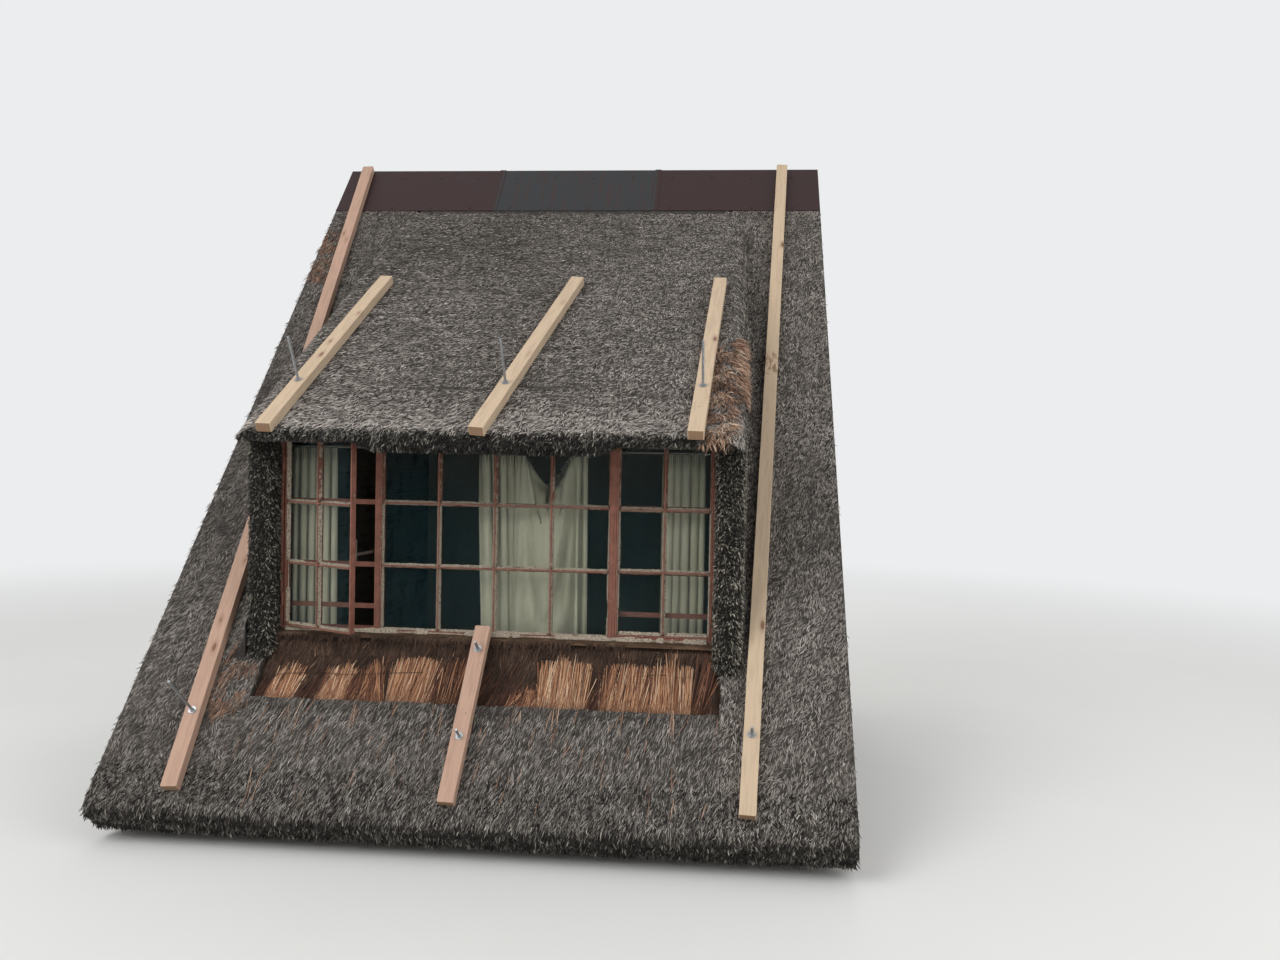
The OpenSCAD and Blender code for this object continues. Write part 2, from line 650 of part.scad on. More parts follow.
// The stay: a flat bar from a plate on the open casement to a bracket behind the frame's jamb
module stay() {
    x = -side_x0 - frame_face - leg_t - 8;
    a = sash_point(sash_w - sash_face / 2, sash_d + 1.5);
    b = [x, frame_d + leaf_t / 2];
    l = norm(b - a);
    union() {
        at_left_sash() translate([sash_w - sash_face, sash_d - 0.5, stay_h - frame_face - sash_gap - 12])
            cube([sash_face, leaf_t, 24]);
        translate([a[0], a[1], sill_z + stay_h]) rotate([0, 0, atan2(b[1] - a[1], b[0] - a[0])])
            translate([0, -2, -7]) cube([l, 4, 14]);
        box(x - 4, -side_x0 - 6, frame_d, frame_d + leaf_t, sill_z + stay_h - 12, sill_z + stay_h + 12);
    }
}
module casement_fittings() {
    z = handle_h - frame_face - sash_gap;
    // The plate clears the fixed frame's stop by 1 mm
    x = leg_t - sash_gap + handle_w / 2 + 1;
    color([0.3, 0.24, 0.2]) placed() {
        at_left_sash() translate([sash_w - x, sash_d - 0.5, z]) handle();
        at_right_sash() translate([x, sash_d - 0.5, z]) handle();
        stay();
    }
}

// Curtains
module curtain_rail() {
    color([0.45, 0.4, 0.36]) placed() translate([-win_x, rail_y, rail_z]) rotate([0, 90, 0])
        cylinder(h = 2 * win_x, d = rail_d, $fn = 24);
}
// A gathered curtain from x0 to x1 whose top edge sags by sag in its middle
module curtain(x0, x1, sag) {
    top = rail_z - rail_d / 2 - fit;
    along_y(rail_y - curtain_t / 2, rail_y + curtain_t / 2)
        polygon([[x0, sill_z - curtain_below], [x1, sill_z - curtain_below], [x1, top],
            [(x0 + 2 * x1) / 3, top - sag], [x0, top]]);
}
module curtain_left() { color(cream) placed() curtain(fit - win_x, curtain_left_w - win_x, 0); }
module curtain_centre() {
    color(cream) placed()
        curtain(curtain_mid_x - curtain_mid_w / 2, curtain_mid_x + curtain_mid_w / 2, curtain_sag);
}
module curtain_right() {
    color(cream) placed() curtain(win_x - curtain_right_in - curtain_right_w, win_x - curtain_right_in, 0);
}

// Battens and rods that hold the thatch down
// A batten in slope axes from (x[0], u0) to (x[1], u1), lying at height n
module slanted(x, u0, u1, n) {
    a = atan2(x[1] - x[0], u1 - u0);
    l = norm([x[1] - x[0], u1 - u0]);
    translate([x[0], u0, n]) rotate([0, 0, -a]) translate([-batten_w / 2, 0, 0]) cube([batten_w, l, batten_h]);
}
batten_n = cap_t + fit;
roof_batten_u = -lip_reach / cos(dormer_pitch) - batten_over;
side_u0 = eave_u + batten_foot;
side_u1 = ridge_u - 4;
// The apron batten rests on its foot and on the ledge's front edge, so it lies less steep than the roof
apron_u0 = eave_u + apron_foot;
ledge_edge_z = sill_drop - ledge_drop - ledge_fall;
ledge_edge_u = ledge_edge_z * sin(roof_pitch) - ledge_reach * cos(roof_pitch);
ledge_edge_n = ledge_edge_z * cos(roof_pitch) + ledge_reach * sin(roof_pitch) + fit;
apron_tilt = atan2(ledge_edge_n, ledge_edge_u - apron_u0);
apron_u1 = apron_u0 + norm([ledge_edge_n, ledge_edge_u - apron_u0]) + ledge_over;
module on_apron_batten() {
    on_slope() translate([0, apron_u0, 0]) rotate([apron_tilt, 0, 0]) translate([0, -apron_u0, 0]) children();
}
// X of a batten x from u0 to u1, at u along the slope
function at_u(x, u0, u1, u) = x[0] + (x[1] - x[0]) * (u - u0) / (u1 - u0);
roof_rod_u = lowest_bay(dormer_laths);
side_rod_u = lowest_bay(slope_laths);
// Place along the apron batten and depth of the thatch, for its lower and its upper rod
apron_rods = [[apron_u0 + apron_rod_low, thatch_t], [apron_u1 - apron_rod_high, apron_rod_t]];
function roof_rod_x(x) = at_u(x, roof_batten_u, roof_batten_u + batten_l, roof_rod_u);
function side_rod_x(x) = at_u(x, side_u0, side_u1, side_rod_u);
function apron_rod_x(u) = at_u(apron_batten_x, apron_u0, apron_u1, u);
module rod(x, u, d, below, up) { translate([x, u, -below]) cylinder(h = below + up, d = d, $fn = 24); }
module rod_on_dormer(x, d, reach) { on_dormer() rod(roof_rod_x(x), roof_rod_u, d, reach, reach); }
module rod_on_slope(x, d, reach) { on_slope() rod(side_rod_x(x), side_rod_u, d, reach, reach); }
module apron_rod_tools(d, reach) {
    on_apron_batten() for (r = apron_rods) rod(apron_rod_x(r[0]), r[0], d, reach, reach);
}
module dormer_battens() {
    color(new_pine) placed() difference() {
        on_dormer() for (x = roof_batten_x) slanted(x, roof_batten_u, roof_batten_u + batten_l, 0);
        for (x = roof_batten_x) rod_on_dormer(x, rod_hole, far);
    }
}
module slope_battens() {
    color(new_pine) placed() difference() {
        union() {
            on_slope() {
                slanted(left_batten, side_u0, side_u1, batten_n);
                slanted(right_batten, side_u0, side_u1, batten_n);
            }
            on_apron_batten() slanted(apron_batten_x, apron_u0, apron_u1, 0);
        }
        rod_on_slope(left_batten, rod_hole, far);
        rod_on_slope(right_batten, rod_hole, far);
        apron_rod_tools(rod_hole, far);
    }
}
// A rod through a batten and its thatch, with a nut and washer above and a plate below
module set_rod(x, u, n, t, up) {
    top = n + batten_h;
    translate([x, u, 0]) union() {
        translate([0, 0, -t - rod_below]) cylinder(h = t + rod_below + top + up, d = rod_d, $fn = 24);
        translate([0, 0, top]) cylinder(h = 3, d = 3.2 * rod_d, $fn = 24);
        translate([0, 0, top + 3]) cylinder(h = 0.8 * rod_d, d = 1.8 * rod_d, $fn = 6);
    }
}
module batten_rods() {
    color([0.6, 0.6, 0.62]) placed() {
        on_dormer() for (x = roof_batten_x) set_rod(roof_rod_x(x), roof_rod_u, 0, dormer_t, rod_up);
        on_slope() {
            set_rod(side_rod_x(left_batten), side_rod_u, batten_n, thatch_t, rod_long);
            set_rod(side_rod_x(right_batten), side_rod_u, batten_n, thatch_t, rod_short);
        }
        on_apron_batten() for (r = apron_rods) set_rod(apron_rod_x(r[0]), r[0], 0, r[1], rod_short);
    }
}

floor_joists();
floor_boards();
wall_plate();
front_wall();
cheek_wall_left();
cheek_wall_right();
corner_posts();
back_wall();
ridge_pole();
rafters_slope();
rafters_apron();
rafters_dormer();
head_beam();
sill_beam();
laths_slope();
laths_apron();
laths_dormer();
thatch_slope_left();
thatch_slope_right();
thatch_cheek_left();
thatch_cheek_right();
thatch_dormer_roof();
thatch_apron_coat();
thatch_apron_base();
ridge_cap();
sill_ledge();
frame_left();
frame_centre();
frame_right();
mullions();
casement_left();
casement_right();
glass_left();
glass_centre();
glass_right();
guard_bars();
casement_hinges();
casement_fittings();
curtain_rail();
curtain_left();
curtain_centre();
curtain_right();
dormer_battens();
slope_battens();
batten_rods();
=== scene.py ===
import itertools
import math

import bpy
import numpy as np
from bpy.props import FloatProperty, FloatVectorProperty, IntProperty, PointerProperty
from mathutils import Matrix, Vector


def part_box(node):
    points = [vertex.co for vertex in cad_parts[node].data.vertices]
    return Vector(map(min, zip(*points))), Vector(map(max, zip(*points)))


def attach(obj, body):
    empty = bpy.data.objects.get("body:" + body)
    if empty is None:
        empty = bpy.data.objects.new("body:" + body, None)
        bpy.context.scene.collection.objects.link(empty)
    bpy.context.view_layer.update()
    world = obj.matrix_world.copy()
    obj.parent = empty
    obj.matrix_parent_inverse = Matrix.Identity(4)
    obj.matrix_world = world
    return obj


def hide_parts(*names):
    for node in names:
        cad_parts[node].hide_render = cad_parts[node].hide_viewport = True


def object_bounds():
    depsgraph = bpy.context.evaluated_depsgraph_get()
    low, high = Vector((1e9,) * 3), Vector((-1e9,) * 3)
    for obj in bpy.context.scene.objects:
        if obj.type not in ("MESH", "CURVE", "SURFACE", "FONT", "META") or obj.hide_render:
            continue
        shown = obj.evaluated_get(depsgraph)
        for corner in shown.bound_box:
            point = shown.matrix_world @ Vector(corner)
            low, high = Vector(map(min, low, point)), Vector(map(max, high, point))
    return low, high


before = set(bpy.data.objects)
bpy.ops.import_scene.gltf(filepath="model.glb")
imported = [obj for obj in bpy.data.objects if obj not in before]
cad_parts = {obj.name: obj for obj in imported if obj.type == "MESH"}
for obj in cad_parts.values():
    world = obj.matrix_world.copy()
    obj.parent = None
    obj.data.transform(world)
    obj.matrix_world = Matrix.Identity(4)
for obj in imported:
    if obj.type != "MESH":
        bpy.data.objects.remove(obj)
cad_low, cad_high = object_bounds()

bl_info = {
    "name": "Thatched dormer window",
    "version": (1, 0, 0),
    "blender": (4, 5, 0),
    "location": "3D view > Sidebar > Dormer",
    "description": "Dresses a thatched dormer: straw, steel window, putty, curtains and battens",
    "category": "Object",
}


# Colours and places

def srgb(red, green, blue):
    """A colour written as 0 to 255, as the linear numbers that shaders take."""
    parts = [c / 255 for c in (red, green, blue)]
    return tuple(c / 12.92 if c <= 0.04045 else ((c + 0.055) / 1.055) ** 2.4 for c in parts)


def unit(vectors):
    """The same vectors at length 1."""
    return vectors / np.linalg.norm(vectors, axis=-1, keepdims=True)


def column(values):
    """A list of numbers as a column, to multiply rows of vectors with."""
    return np.asarray(values, float)[:, None]


class RoofPlane:
    """The largest upper face of a node: x across it, u up it from the window's face, n off it."""

    def __init__(self, node, reach=9.0):
        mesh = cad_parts[node].data
        faces = [f for f in mesh.polygons if f.normal.z > 0.3 and abs(f.center.x) < reach]
        face = max(faces, key=lambda f: f.area)
        self.normal = np.array(face.normal)
        self.up = np.array((0.0, self.normal[2], -self.normal[1]))
        self.across = np.array((1.0, 0.0, 0.0))
        corner = mesh.vertices[face.vertices[0]].co
        z = corner.z - self.normal[1] * (window_low.y - corner.y) / self.normal[2]
        self.origin = np.array((0.0, window_low.y, z))
        self.pitch = math.atan2(self.up[2], self.up[1])

    def place(self, x, u, n):
        """The point at x, u and n."""
        return self.origin + x * self.across + u * self.up + n * self.normal

    def read(self, points):
        """x, u and n of points."""
        off = np.asarray(points, float) - self.origin
        return off @ self.across, off @ self.up, off @ self.normal

    def matrix(self, x, u, n, turn=0.0):
        """Axes at a point of the plane, with Y up the slope, turned about the plane's normal."""
        axes = Matrix([self.across, self.up, self.normal]).transposed().to_4x4()
        return Matrix.Translation(self.place(x, u, n)) @ axes @ Matrix.Rotation(turn, 4, "Z")


window_low, window_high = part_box("frame_centre")
slope = RoofPlane("thatch_slope_right")
dormer = RoofPlane("thatch_dormer_roof")
# The batten on the apron rests on the ledge, less steep than the roof
apron_batten = RoofPlane("slope_battens", 0.3)
side_low, side_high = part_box("frame_right")
sill_z, head_z = window_low.z, window_high.z
face_y = window_low.y
wall_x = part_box("thatch_apron_coat")[1].x
dormer_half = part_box("thatch_dormer_roof")[1].x
lip_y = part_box("thatch_dormer_roof")[0].y
lip_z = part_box("thatch_dormer_roof")[0].z
cap_low, cap_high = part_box("ridge_cap")


def coat_top():
    """How far up the slope the top of the apron's grey coat reaches."""
    x, u, n = slope.read([v.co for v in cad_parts["thatch_apron_coat"].data.vertices])
    return float(u[n > -0.001].max())


coat_top_u = coat_top()


def islands(node):
    """The separate solids of a node, each as an array of its points."""
    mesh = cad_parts[node].data
    at = np.array([v.co for v in mesh.vertices])
    places, index = np.unique(at.round(5), axis=0, return_inverse=True)
    index = index.ravel()
    group = list(range(len(places)))

    def root(i):
        while group[i] != i:
            group[i] = group[group[i]]
            i = group[i]
        return i

    for face in mesh.polygons:
        ids = [root(index[v]) for v in face.vertices]
        for other in ids[1:]:
            group[root(other)] = root(ids[0])
    roots = np.array([root(i) for i in range(len(places))])
    return [places[roots == r] for r in sorted(set(roots))]


# Shaders

class Value:
    """A shader's number socket. Expressions on it add Math nodes."""

    def __init__(self, finish, socket):
        self.finish = finish
        self.socket = socket

    def math(self, operation, *others):
        inputs = dict(enumerate((self, *others)))
        return self.finish.add("ShaderNodeMath", 0, {"operation": operation}, inputs)

    def reflected(self, operation, other):
        inputs = {0: other, 1: self}
        return self.finish.add("ShaderNodeMath", 0, {"operation": operation}, inputs)

    def __add__(self, other):
        return self.math("ADD", other)

    __radd__ = __add__

    def __sub__(self, other):
        return self.math("SUBTRACT", other)

    def __rsub__(self, other):
        return self.reflected("SUBTRACT", other)

    def __mul__(self, other):
        return self.math("MULTIPLY", other)

    __rmul__ = __mul__

    def __truediv__(self, other):
        return self.math("DIVIDE", other)

    def __pow__(self, other):
        return self.math("POWER", other)

    def over(self, low, high):
        """0 below low, 1 above high, and smooth between."""
        settings = {"interpolation_type": "SMOOTHSTEP"}
        inputs = {"Value": self, "From Min": low, "From Max": high}
        return self.finish.add("ShaderNodeMapRange", 0, settings, inputs)


class Finish:
    """A material or a world made of nodes, around one main shader."""

    def __init__(self, name, blocks="materials", main="Principled BSDF", output="Material Output", **constants):
        self.material = getattr(bpy.data, blocks).new(name)
        self.material.use_nodes = True
        self.tree = self.material.node_tree
        self.shader = self.tree.nodes[main]
        self.output = self.tree.nodes[output]
        self.set(self.shader, constants)

    def set(self, node, inputs):
        """Gives a node's sockets their values or links."""
        for key, value in inputs.items():
            if isinstance(key, str):
                key = key.replace("_", " ")
            if isinstance(value, Value):
                self.tree.links.new(value.socket, node.inputs[key])
            elif hasattr(value, "__len__") and len(value) == 3 and node.inputs[key].type == "RGBA":
                node.inputs[key].default_value = (*value, 1.0)
            else:
                node.inputs[key].default_value = value

    def add(self, kind, output, settings=None, inputs=None):
        """A new node with its settings and sockets. Returns one of its outputs."""
        node = self.tree.nodes.new(kind)
        for key, value in (settings or {}).items():
            if key == "stops":
                for _ in value[2:]:
                    node.color_ramp.elements.new(0.5)
                for element, (at, colour) in zip(node.color_ramp.elements, value):
                    element.position = at
                    element.color = (*colour, 1.0)
            else:
                setattr(node, key, value)
        self.set(node, inputs or {})
        return Value(self, node.outputs[output])

    def blend_shaders(self, factor, first, second):
        """Gives the output a mix of two shaders."""
        mixed = self.add("ShaderNodeMixShader", 0, None, {0: factor, 1: first, 2: second})
        self.set(self.output, {"Surface": mixed})

    def shade(self, **inputs):
        """Links the Principled shader's sockets."""
        self.set(self.shader, inputs)
        return self.material

    def place(self):
        """Coordinates in the row frame, in metres."""
        return self.add("ShaderNodeTexCoord", "Object")

    def attribute(self, name, output="Vector"):
        return self.add("ShaderNodeAttribute", output, {"attribute_name": name})

    def part(self, vector, axis):
        return self.add("ShaderNodeSeparateXYZ", axis, None, {"Vector": vector})

    def turn_x(self, vector, angle):
        """A vector turned about X, so that Y runs along a slope of that pitch."""
        inputs = {"Vector": vector, "Angle": angle}
        return self.add("ShaderNodeVectorRotate", 0, {"rotation_type": "X_AXIS"}, inputs)

    def stretch(self, vector, scale):
        inputs = {0: vector, 1: scale}
        return self.add("ShaderNodeVectorMath", 0, {"operation": "MULTIPLY"}, inputs)

    def shift(self, vector, by):
        return self.add("ShaderNodeVectorMath", 0, {"operation": "ADD"}, {0: vector, 1: by})

    def noise(self, vector, scale, detail=4.0, rough=0.55, warp=0.0):
        inputs = {"Vector": vector, "Scale": scale, "Detail": detail, "Roughness": rough, "Distortion": warp}
        return self.add("ShaderNodeTexNoise", "Fac", None, inputs)

    def cells(self, vector, scale, feature="F1", output="Distance", scatter=1.0):
        inputs = {"Vector": vector, "Scale": scale, "Randomness": scatter}
        return self.add("ShaderNodeTexVoronoi", output, {"feature": feature}, inputs)

    def mix(self, factor, first, second, blend="MIX"):
        """A mix of two colours."""
        settings = {"data_type": "RGBA", "blend_type": blend}
        return self.add("ShaderNodeMix", 2, settings, {0: factor, 6: first, 7: second})

    def tint(self, colour, value):
        """A colour made lighter or darker by a number."""
        return self.mix(1.0, colour, value, "MULTIPLY")

    def ramp(self, value, stops):
        """Colours at places from 0 to 1."""
        return self.add("ShaderNodeValToRGB", "Color", {"stops": stops}, {"Fac": value})

    def bump(self, height, distance, strength=1.0, normal=None):
        inputs = {"Height": height, "Distance": distance, "Strength": strength}
        if normal is not None:
            inputs["Normal"] = normal
        return self.add("ShaderNodeBump", "Normal", None, inputs)


def wear(material, *nodes):
    """Gives CAD nodes a material."""
    for name in nodes:
        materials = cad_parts[name].data.materials
        materials.clear()
        materials.append(material)


# Meshes

def mesh_object(name, points, faces, material, smooth=False):
    """A piece from points and faces in the row frame."""
    mesh = bpy.data.meshes.new(name)
    mesh.from_pydata([tuple(p) for p in points], [], faces)
    mesh.validate()
    if smooth:
        mesh.polygons.foreach_set("use_smooth", [True] * len(mesh.polygons))
    mesh.materials.append(material)
    piece = bpy.data.objects.new(name, mesh)
    bpy.context.scene.collection.objects.link(piece)
    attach(piece, "root")
    return piece


def keep_vector(piece, name, values):
    """Stores a vector at each point of a piece, for its material."""
    made = piece.data.attributes.new(name, "FLOAT_VECTOR", "POINT")
    made.data.foreach_set("vector", np.asarray(values, np.float32).ravel())


def grid_faces(rows, columns, closed=False, start=0):
    """Quads between rows of points that follow each other."""
    last = columns if closed else columns - 1
    return [
        (
            start + i * columns + j,
            start + i * columns + (j + 1) % columns,
            start + (i + 1) * columns + (j + 1) % columns,
            start + (i + 1) * columns + j,
        )
        for i in range(rows - 1)
        for j in range(last)
    ]


class Parts:
    """Points and faces of many small pieces that become one mesh."""

    def __init__(self):
        self.points = []
        self.faces = []

    def add(self, points, faces):
        start = len(self.points)
        self.points.extend(Vector(p) for p in points)
        self.faces.extend(tuple(start + i for i in face) for face in faces)

    def lathe(self, matrix, profile, sides):
        """A turned piece about the matrix's Z axis, from (radius, height) pairs, closed at both ends."""
        ring = [(math.cos(a), math.sin(a)) for a in np.linspace(0, 2 * math.pi, sides, endpoint=False)]
        points = [matrix @ Vector((r * c, r * s, h)) for r, h in profile for c, s in ring]
        faces = grid_faces(len(profile), sides, closed=True)
        faces.append(tuple(reversed(range(sides))))
        faces.append(tuple(range((len(profile) - 1) * sides, len(profile) * sides)))
        self.add(points, faces)

    def tube(self, path, radius, sides=6):
        """A thin round wire along a path."""
        path = [Vector(p) for p in path]
        points = []
        for i, p in enumerate(path):
            ahead = (path[min(i + 1, len(path) - 1)] - path[max(i - 1, 0)]).normalized()
            side = ahead.orthogonal().normalized()
            other = ahead.cross(side)
            for a in np.linspace(0, 2 * math.pi, sides, endpoint=False):
                points.append(p + (side * math.cos(a) + other * math.sin(a)) * radius)
        faces = grid_faces(len(path), sides, closed=True)
        faces.append(tuple(reversed(range(sides))))
        faces.append(tuple(range((len(path) - 1) * sides, len(path) * sides)))
        self.add(points, faces)


# Straw

def cloud(points, size, seed):
    """Smooth noise from 0 to 1 at each point, with lumps of about that size."""
    scaled = np.asarray(points, float) / size
    cell = np.floor(scaled).astype(np.int64)
    part = scaled - cell
    part = part * part * (3 - 2 * part)
    total = np.zeros(len(scaled))
    for corner in itertools.product((0, 1), repeat=3):
        at = cell + np.array(corner)
        mixed = at[:, 0] * 73856093 ^ at[:, 1] * 19349663 ^ at[:, 2] * 83492791 ^ seed * 265443
        mixed = ((mixed ^ (mixed >> 13)) * 1274126177) & 0xFFFFFFFF
        weight = np.where(corner, part, 1 - part).prod(axis=1)
        total += weight * ((mixed >> 9) & 0xFFFF) / 0xFFFF
    return total


def streaks(points, across, size, seed):
    """Noise stretched along X, from -0.5 to 0.5."""
    return cloud(points * np.array((size / across, 1.0, 1.0)), size, seed) - 0.5


def spread(nodes, per_m2, seed, keep):
    """Random places on CAD nodes: their points and the surface's normals, and the random source."""
    corners = []
    for name in nodes:
        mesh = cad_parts[name].data
        mesh.calc_loop_triangles()
        at = np.empty(len(mesh.vertices) * 3, np.float32)
        mesh.vertices.foreach_get("co", at)
        index = np.empty(len(mesh.loop_triangles) * 3, np.int32)
        mesh.loop_triangles.foreach_get("vertices", index)
        corners.append(at.reshape(-1, 3)[index].reshape(-1, 3, 3))
    corners = np.concatenate(corners).astype(float)
    cross = np.cross(corners[:, 1] - corners[:, 0], corners[:, 2] - corners[:, 0])
    twice = np.linalg.norm(cross, axis=1)
    rng = np.random.default_rng(seed)
    picked = rng.choice(len(twice), int(per_m2 * twice.sum() / 2), p=twice / twice.sum())
    a, b = rng.random((2, len(picked)))
    far = a + b > 1
    a[far], b[far] = 1 - a[far], 1 - b[far]
    chosen = corners[picked]
    sides = chosen[:, 1:] - chosen[:, :1]
    points = chosen[:, 0] + column(a) * sides[:, 0] + column(b) * sides[:, 1]
    normals = unit(cross[picked])
    kept = keep(points, normals)
    return points[kept], normals[kept], rng


def comb(normals, lean, raised):
    """Directions down a surface, turned towards +X by lean and raised off it, all in radians."""
    down = np.array((0.0, 0.0, -1.0))
    flat = down - normals * column(normals @ down)
    flat = unit(flat + 1e-6 * np.array((0.0, -1.0, 0.0)))
    side = np.cross(normals, flat)
    turned = flat * column(np.cos(lean)) + side * column(np.sin(lean))
    return turned * column(np.cos(raised)) + normals * column(np.sin(raised))


# How far a straw's tip may stand out of the CAD model's box
STRAW_REACH = 0.025


def straw_object(name, points, ahead, normals, length, width, tone, rng, material, droop=0.12):
    """Many straws as one mesh. Each is a narrow blade of a quad and a tip, bent towards the surface."""
    count = len(points)
    side = unit(np.cross(ahead, normals))
    roll = rng.normal(0, 0.5, count)
    side = side * column(np.cos(roll)) + np.cross(ahead, side) * column(np.sin(roll))
    half = side * column(width / 2)
    middle = points + ahead * column(length * 0.55)
    tip = points + ahead * column(length) - normals * column(length * droop)
    wide = 0.85
    blades = np.stack([points - half, points + half, middle - half * wide, middle + half * wide, tip], 1)
    blades = blades.clip(np.array(cad_low) - STRAW_REACH, np.array(cad_high) + STRAW_REACH)
    mesh = bpy.data.meshes.new(name)
    mesh.vertices.add(count * 5)
    mesh.vertices.foreach_set("co", blades.astype(np.float32).ravel())
    corner = np.array((0, 1, 3, 2, 2, 3, 4))
    loops = (np.arange(count)[:, None] * 5 + corner).ravel()
    mesh.loops.add(count * 7)
    mesh.loops.foreach_set("vertex_index", loops.astype(np.int32))
    mesh.polygons.add(count * 2)
    starts = (np.arange(count)[:, None] * 7 + np.array((0, 4))).ravel()
    mesh.polygons.foreach_set("loop_start", starts.astype(np.int32))
    mesh.update(calc_edges=True)
    along = np.tile((0.0, 0.0, 0.55, 0.55, 1.0), (count, 1))
    tones = np.repeat(np.clip(tone, 0.0, 1.0)[:, None], 5, axis=1)
    strand = np.stack([tones, along, np.zeros_like(along)], -1).astype(np.float32)
    mesh.attributes.new("strand", "FLOAT_VECTOR", "POINT").data.foreach_set("vector", strand.ravel())
    spot = 0.006
    aside = np.array((-spot, spot, -spot, spot, 0.0))
    map_u = 0.02 + 0.96 * (tones + aside).clip(0, 1)
    map_v = 0.02 + 0.96 * along
    layer = mesh.uv_layers.new(name="OFBake")
    layer.uv.foreach_set("vector", np.stack([map_u, map_v], -1).reshape(-1, 2)[loops].astype(np.float32).ravel())
    mesh.materials.append(material)
    piece = bpy.data.objects.new(name, mesh)
    bpy.context.scene.collection.objects.link(piece)
    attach(piece, "root")
    return piece


def straw_finish(name, stops, root_shade):
    """The colour of straws, by each straw's own tone, darker at the root, partly as painted shade and partly as the
    roots' own colour.
    """
    finish = Finish(name, Roughness=0.82, Specular_IOR_Level=0.25)
    strand = finish.attribute("strand")
    tone = finish.part(strand, "X")
    along = finish.part(strand, "Y")
    # Darker towards the root: partly painted shade, partly the roots' own colour
    shade = root_shade + (1 - root_shade) * along
    return finish.shade(Base_Color=finish.tint(finish.ramp(tone, stops), shade))


def bed_finish(name, dark, light, pitch, shaded=(-2.0, -1.0)):
    """Packed thatch under the loose straws, whose dark tones are painted shade in the gaps between straws: streaks that
    run along a slope, with painted shade below the shaded heights.
    """
    finish = Finish(name, Specular_IOR_Level=0.15)
    along = finish.turn_x(finish.place(), -pitch)
    strands = finish.noise(finish.stretch(along, (190.0, 40.0, 190.0)), 1.0, 5.0, 0.65)
    lumps = finish.noise(along, 9.0, 4.0, 0.6)
    mask = (strands * 0.7 + lumps * 0.45 - 0.2).over(0.2, 0.75)
    # Painted shade: darker below the shaded heights
    colour = finish.tint(finish.mix(mask, dark, light), 0.2 + 0.8 * finish.part(finish.place(), "Z").over(*shaded))
    normal = finish.bump(strands + lumps * 0.4, 0.01, 0.9)
    return finish.shade(Base_Color=colour, Roughness=0.96 - mask * 0.1, Normal=normal)


# Settings

def colour_setting(name, text, colour):
    return FloatVectorProperty(name=name, description=text, default=colour, subtype="COLOR", min=0, max=1)


def length_setting(name, text, metres):
    return FloatProperty(name=name, description=text, default=metres, min=0, unit="LENGTH")


class ThatchSettings(bpy.types.PropertyGroup):
    straw_length: length_setting("Straw length", "Length of a straw end that shows", 0.031)
    straw_width: length_setting("Straw width", "Width of a straw", 0.0044)
    straws_per_m2: IntProperty(
        name="Straws a square metre", description="Straw ends on each square metre", default=12000, min=100
    )
    # Painted shade: the colour of straw deep in the shaded gaps between straws, used for the darkest straws and the
    # packed thatch
    shadow: colour_setting("Painted gap shade", "Straw deep in a gap", srgb(58, 54, 52))
    weathered: colour_setting("Weathered colour", "Grey straw", srgb(136, 129, 122))
    bleached: colour_setting("Bleached colour", "Straw ends that the sun has bleached", srgb(208, 201, 193))
    reed: colour_setting("Reed colour", "Old reed that the missing coat has bared", srgb(166, 116, 86))
    rotten: colour_setting("Rotten colour", "Rotten reed beside the window", srgb(80, 63, 53))


class WindowSettings(bpy.types.PropertyGroup):
    paint: colour_setting("Paint colour", "Red-brown paint of the steel", srgb(116, 74, 61))
    rust: colour_setting("Rust colour", "Rust under the paint", srgb(84, 50, 38))
    putty: colour_setting("Putty colour", "Dry glazing putty", srgb(178, 166, 150))
    # Painted reflection: a dark teal colour that stands in for what the panes reflect
    glass: colour_setting("Painted reflection colour", "Dark reflection in the panes", srgb(34, 78, 88))
    putty_width: length_setting("Putty width", "Width of the putty on the glass", 0.0075)
    curtain: colour_setting("Curtain colour", "Cream cloth", srgb(196, 192, 172))
    fold_depth: length_setting("Fold depth", "Depth of the curtains' folds", 0.028)
    fullness: FloatProperty(
        name="Fullness", description="Flat width of a curtain over its gathered width", default=1.7, min=1, max=3
    )


class BattenSettings(bpy.types.PropertyGroup):
    pine: colour_setting("Pine colour", "New sawn pine", srgb(196, 174, 148))
    pink_pine: colour_setting("Pink pine colour", "Pine with more heartwood", srgb(182, 150, 131))
    pine_dark: colour_setting("Knot colour", "Knots and dark grain", srgb(116, 80, 60))
    end_grain: colour_setting("End grain colour", "Sawn ends of the battens", srgb(156, 126, 100))
    bevel: length_setting("Edge radius", "Rounding of a sawn edge", 0.0025)
    thread_pitch: length_setting("Thread pitch", "Rise of the rods' thread in one turn", 0.0025)
    zinc: colour_setting("Zinc colour", "Zinc plated rods", srgb(168, 170, 172))


class StageSettings(bpy.types.PropertyGroup):
    floor: colour_setting("Floor colour", "Pale floor", srgb(226, 226, 224))
    sky: colour_setting("Background colour", "Pale background", srgb(236, 237, 238))
    sky_strength: FloatProperty(name="Sky strength", description="Soft light from all round", default=0.62, min=0)
    key_power: FloatProperty(name="Key lamp", description="Power of the main lamp", default=560.0, min=0, unit="POWER")
    fill_power: FloatProperty(name="Fill lamp", description="Power of the fill lamp", default=220.0, min=0, unit="POWER")


def settings(group):
    return getattr(bpy.context.scene, "dormer_" + group)


def lighter(colour, factor):
    """A colour at another brightness."""
    return tuple(min(1.0, c * factor) for c in colour)


def between(first, second):
    return tuple((a + b) / 2 for a, b in zip(first, second))


def straw_stops(dark, middle, tip):
    """Stops from the painted shade of the gaps over the middle tone to the bleached ends."""
    return [(0.0, tuple(dark)), (0.22, between(dark, lighter(middle, 0.55))), (0.5, tuple(middle)),
        (0.78, between(middle, tip)), (1.0, tuple(tip))]


# Thatch

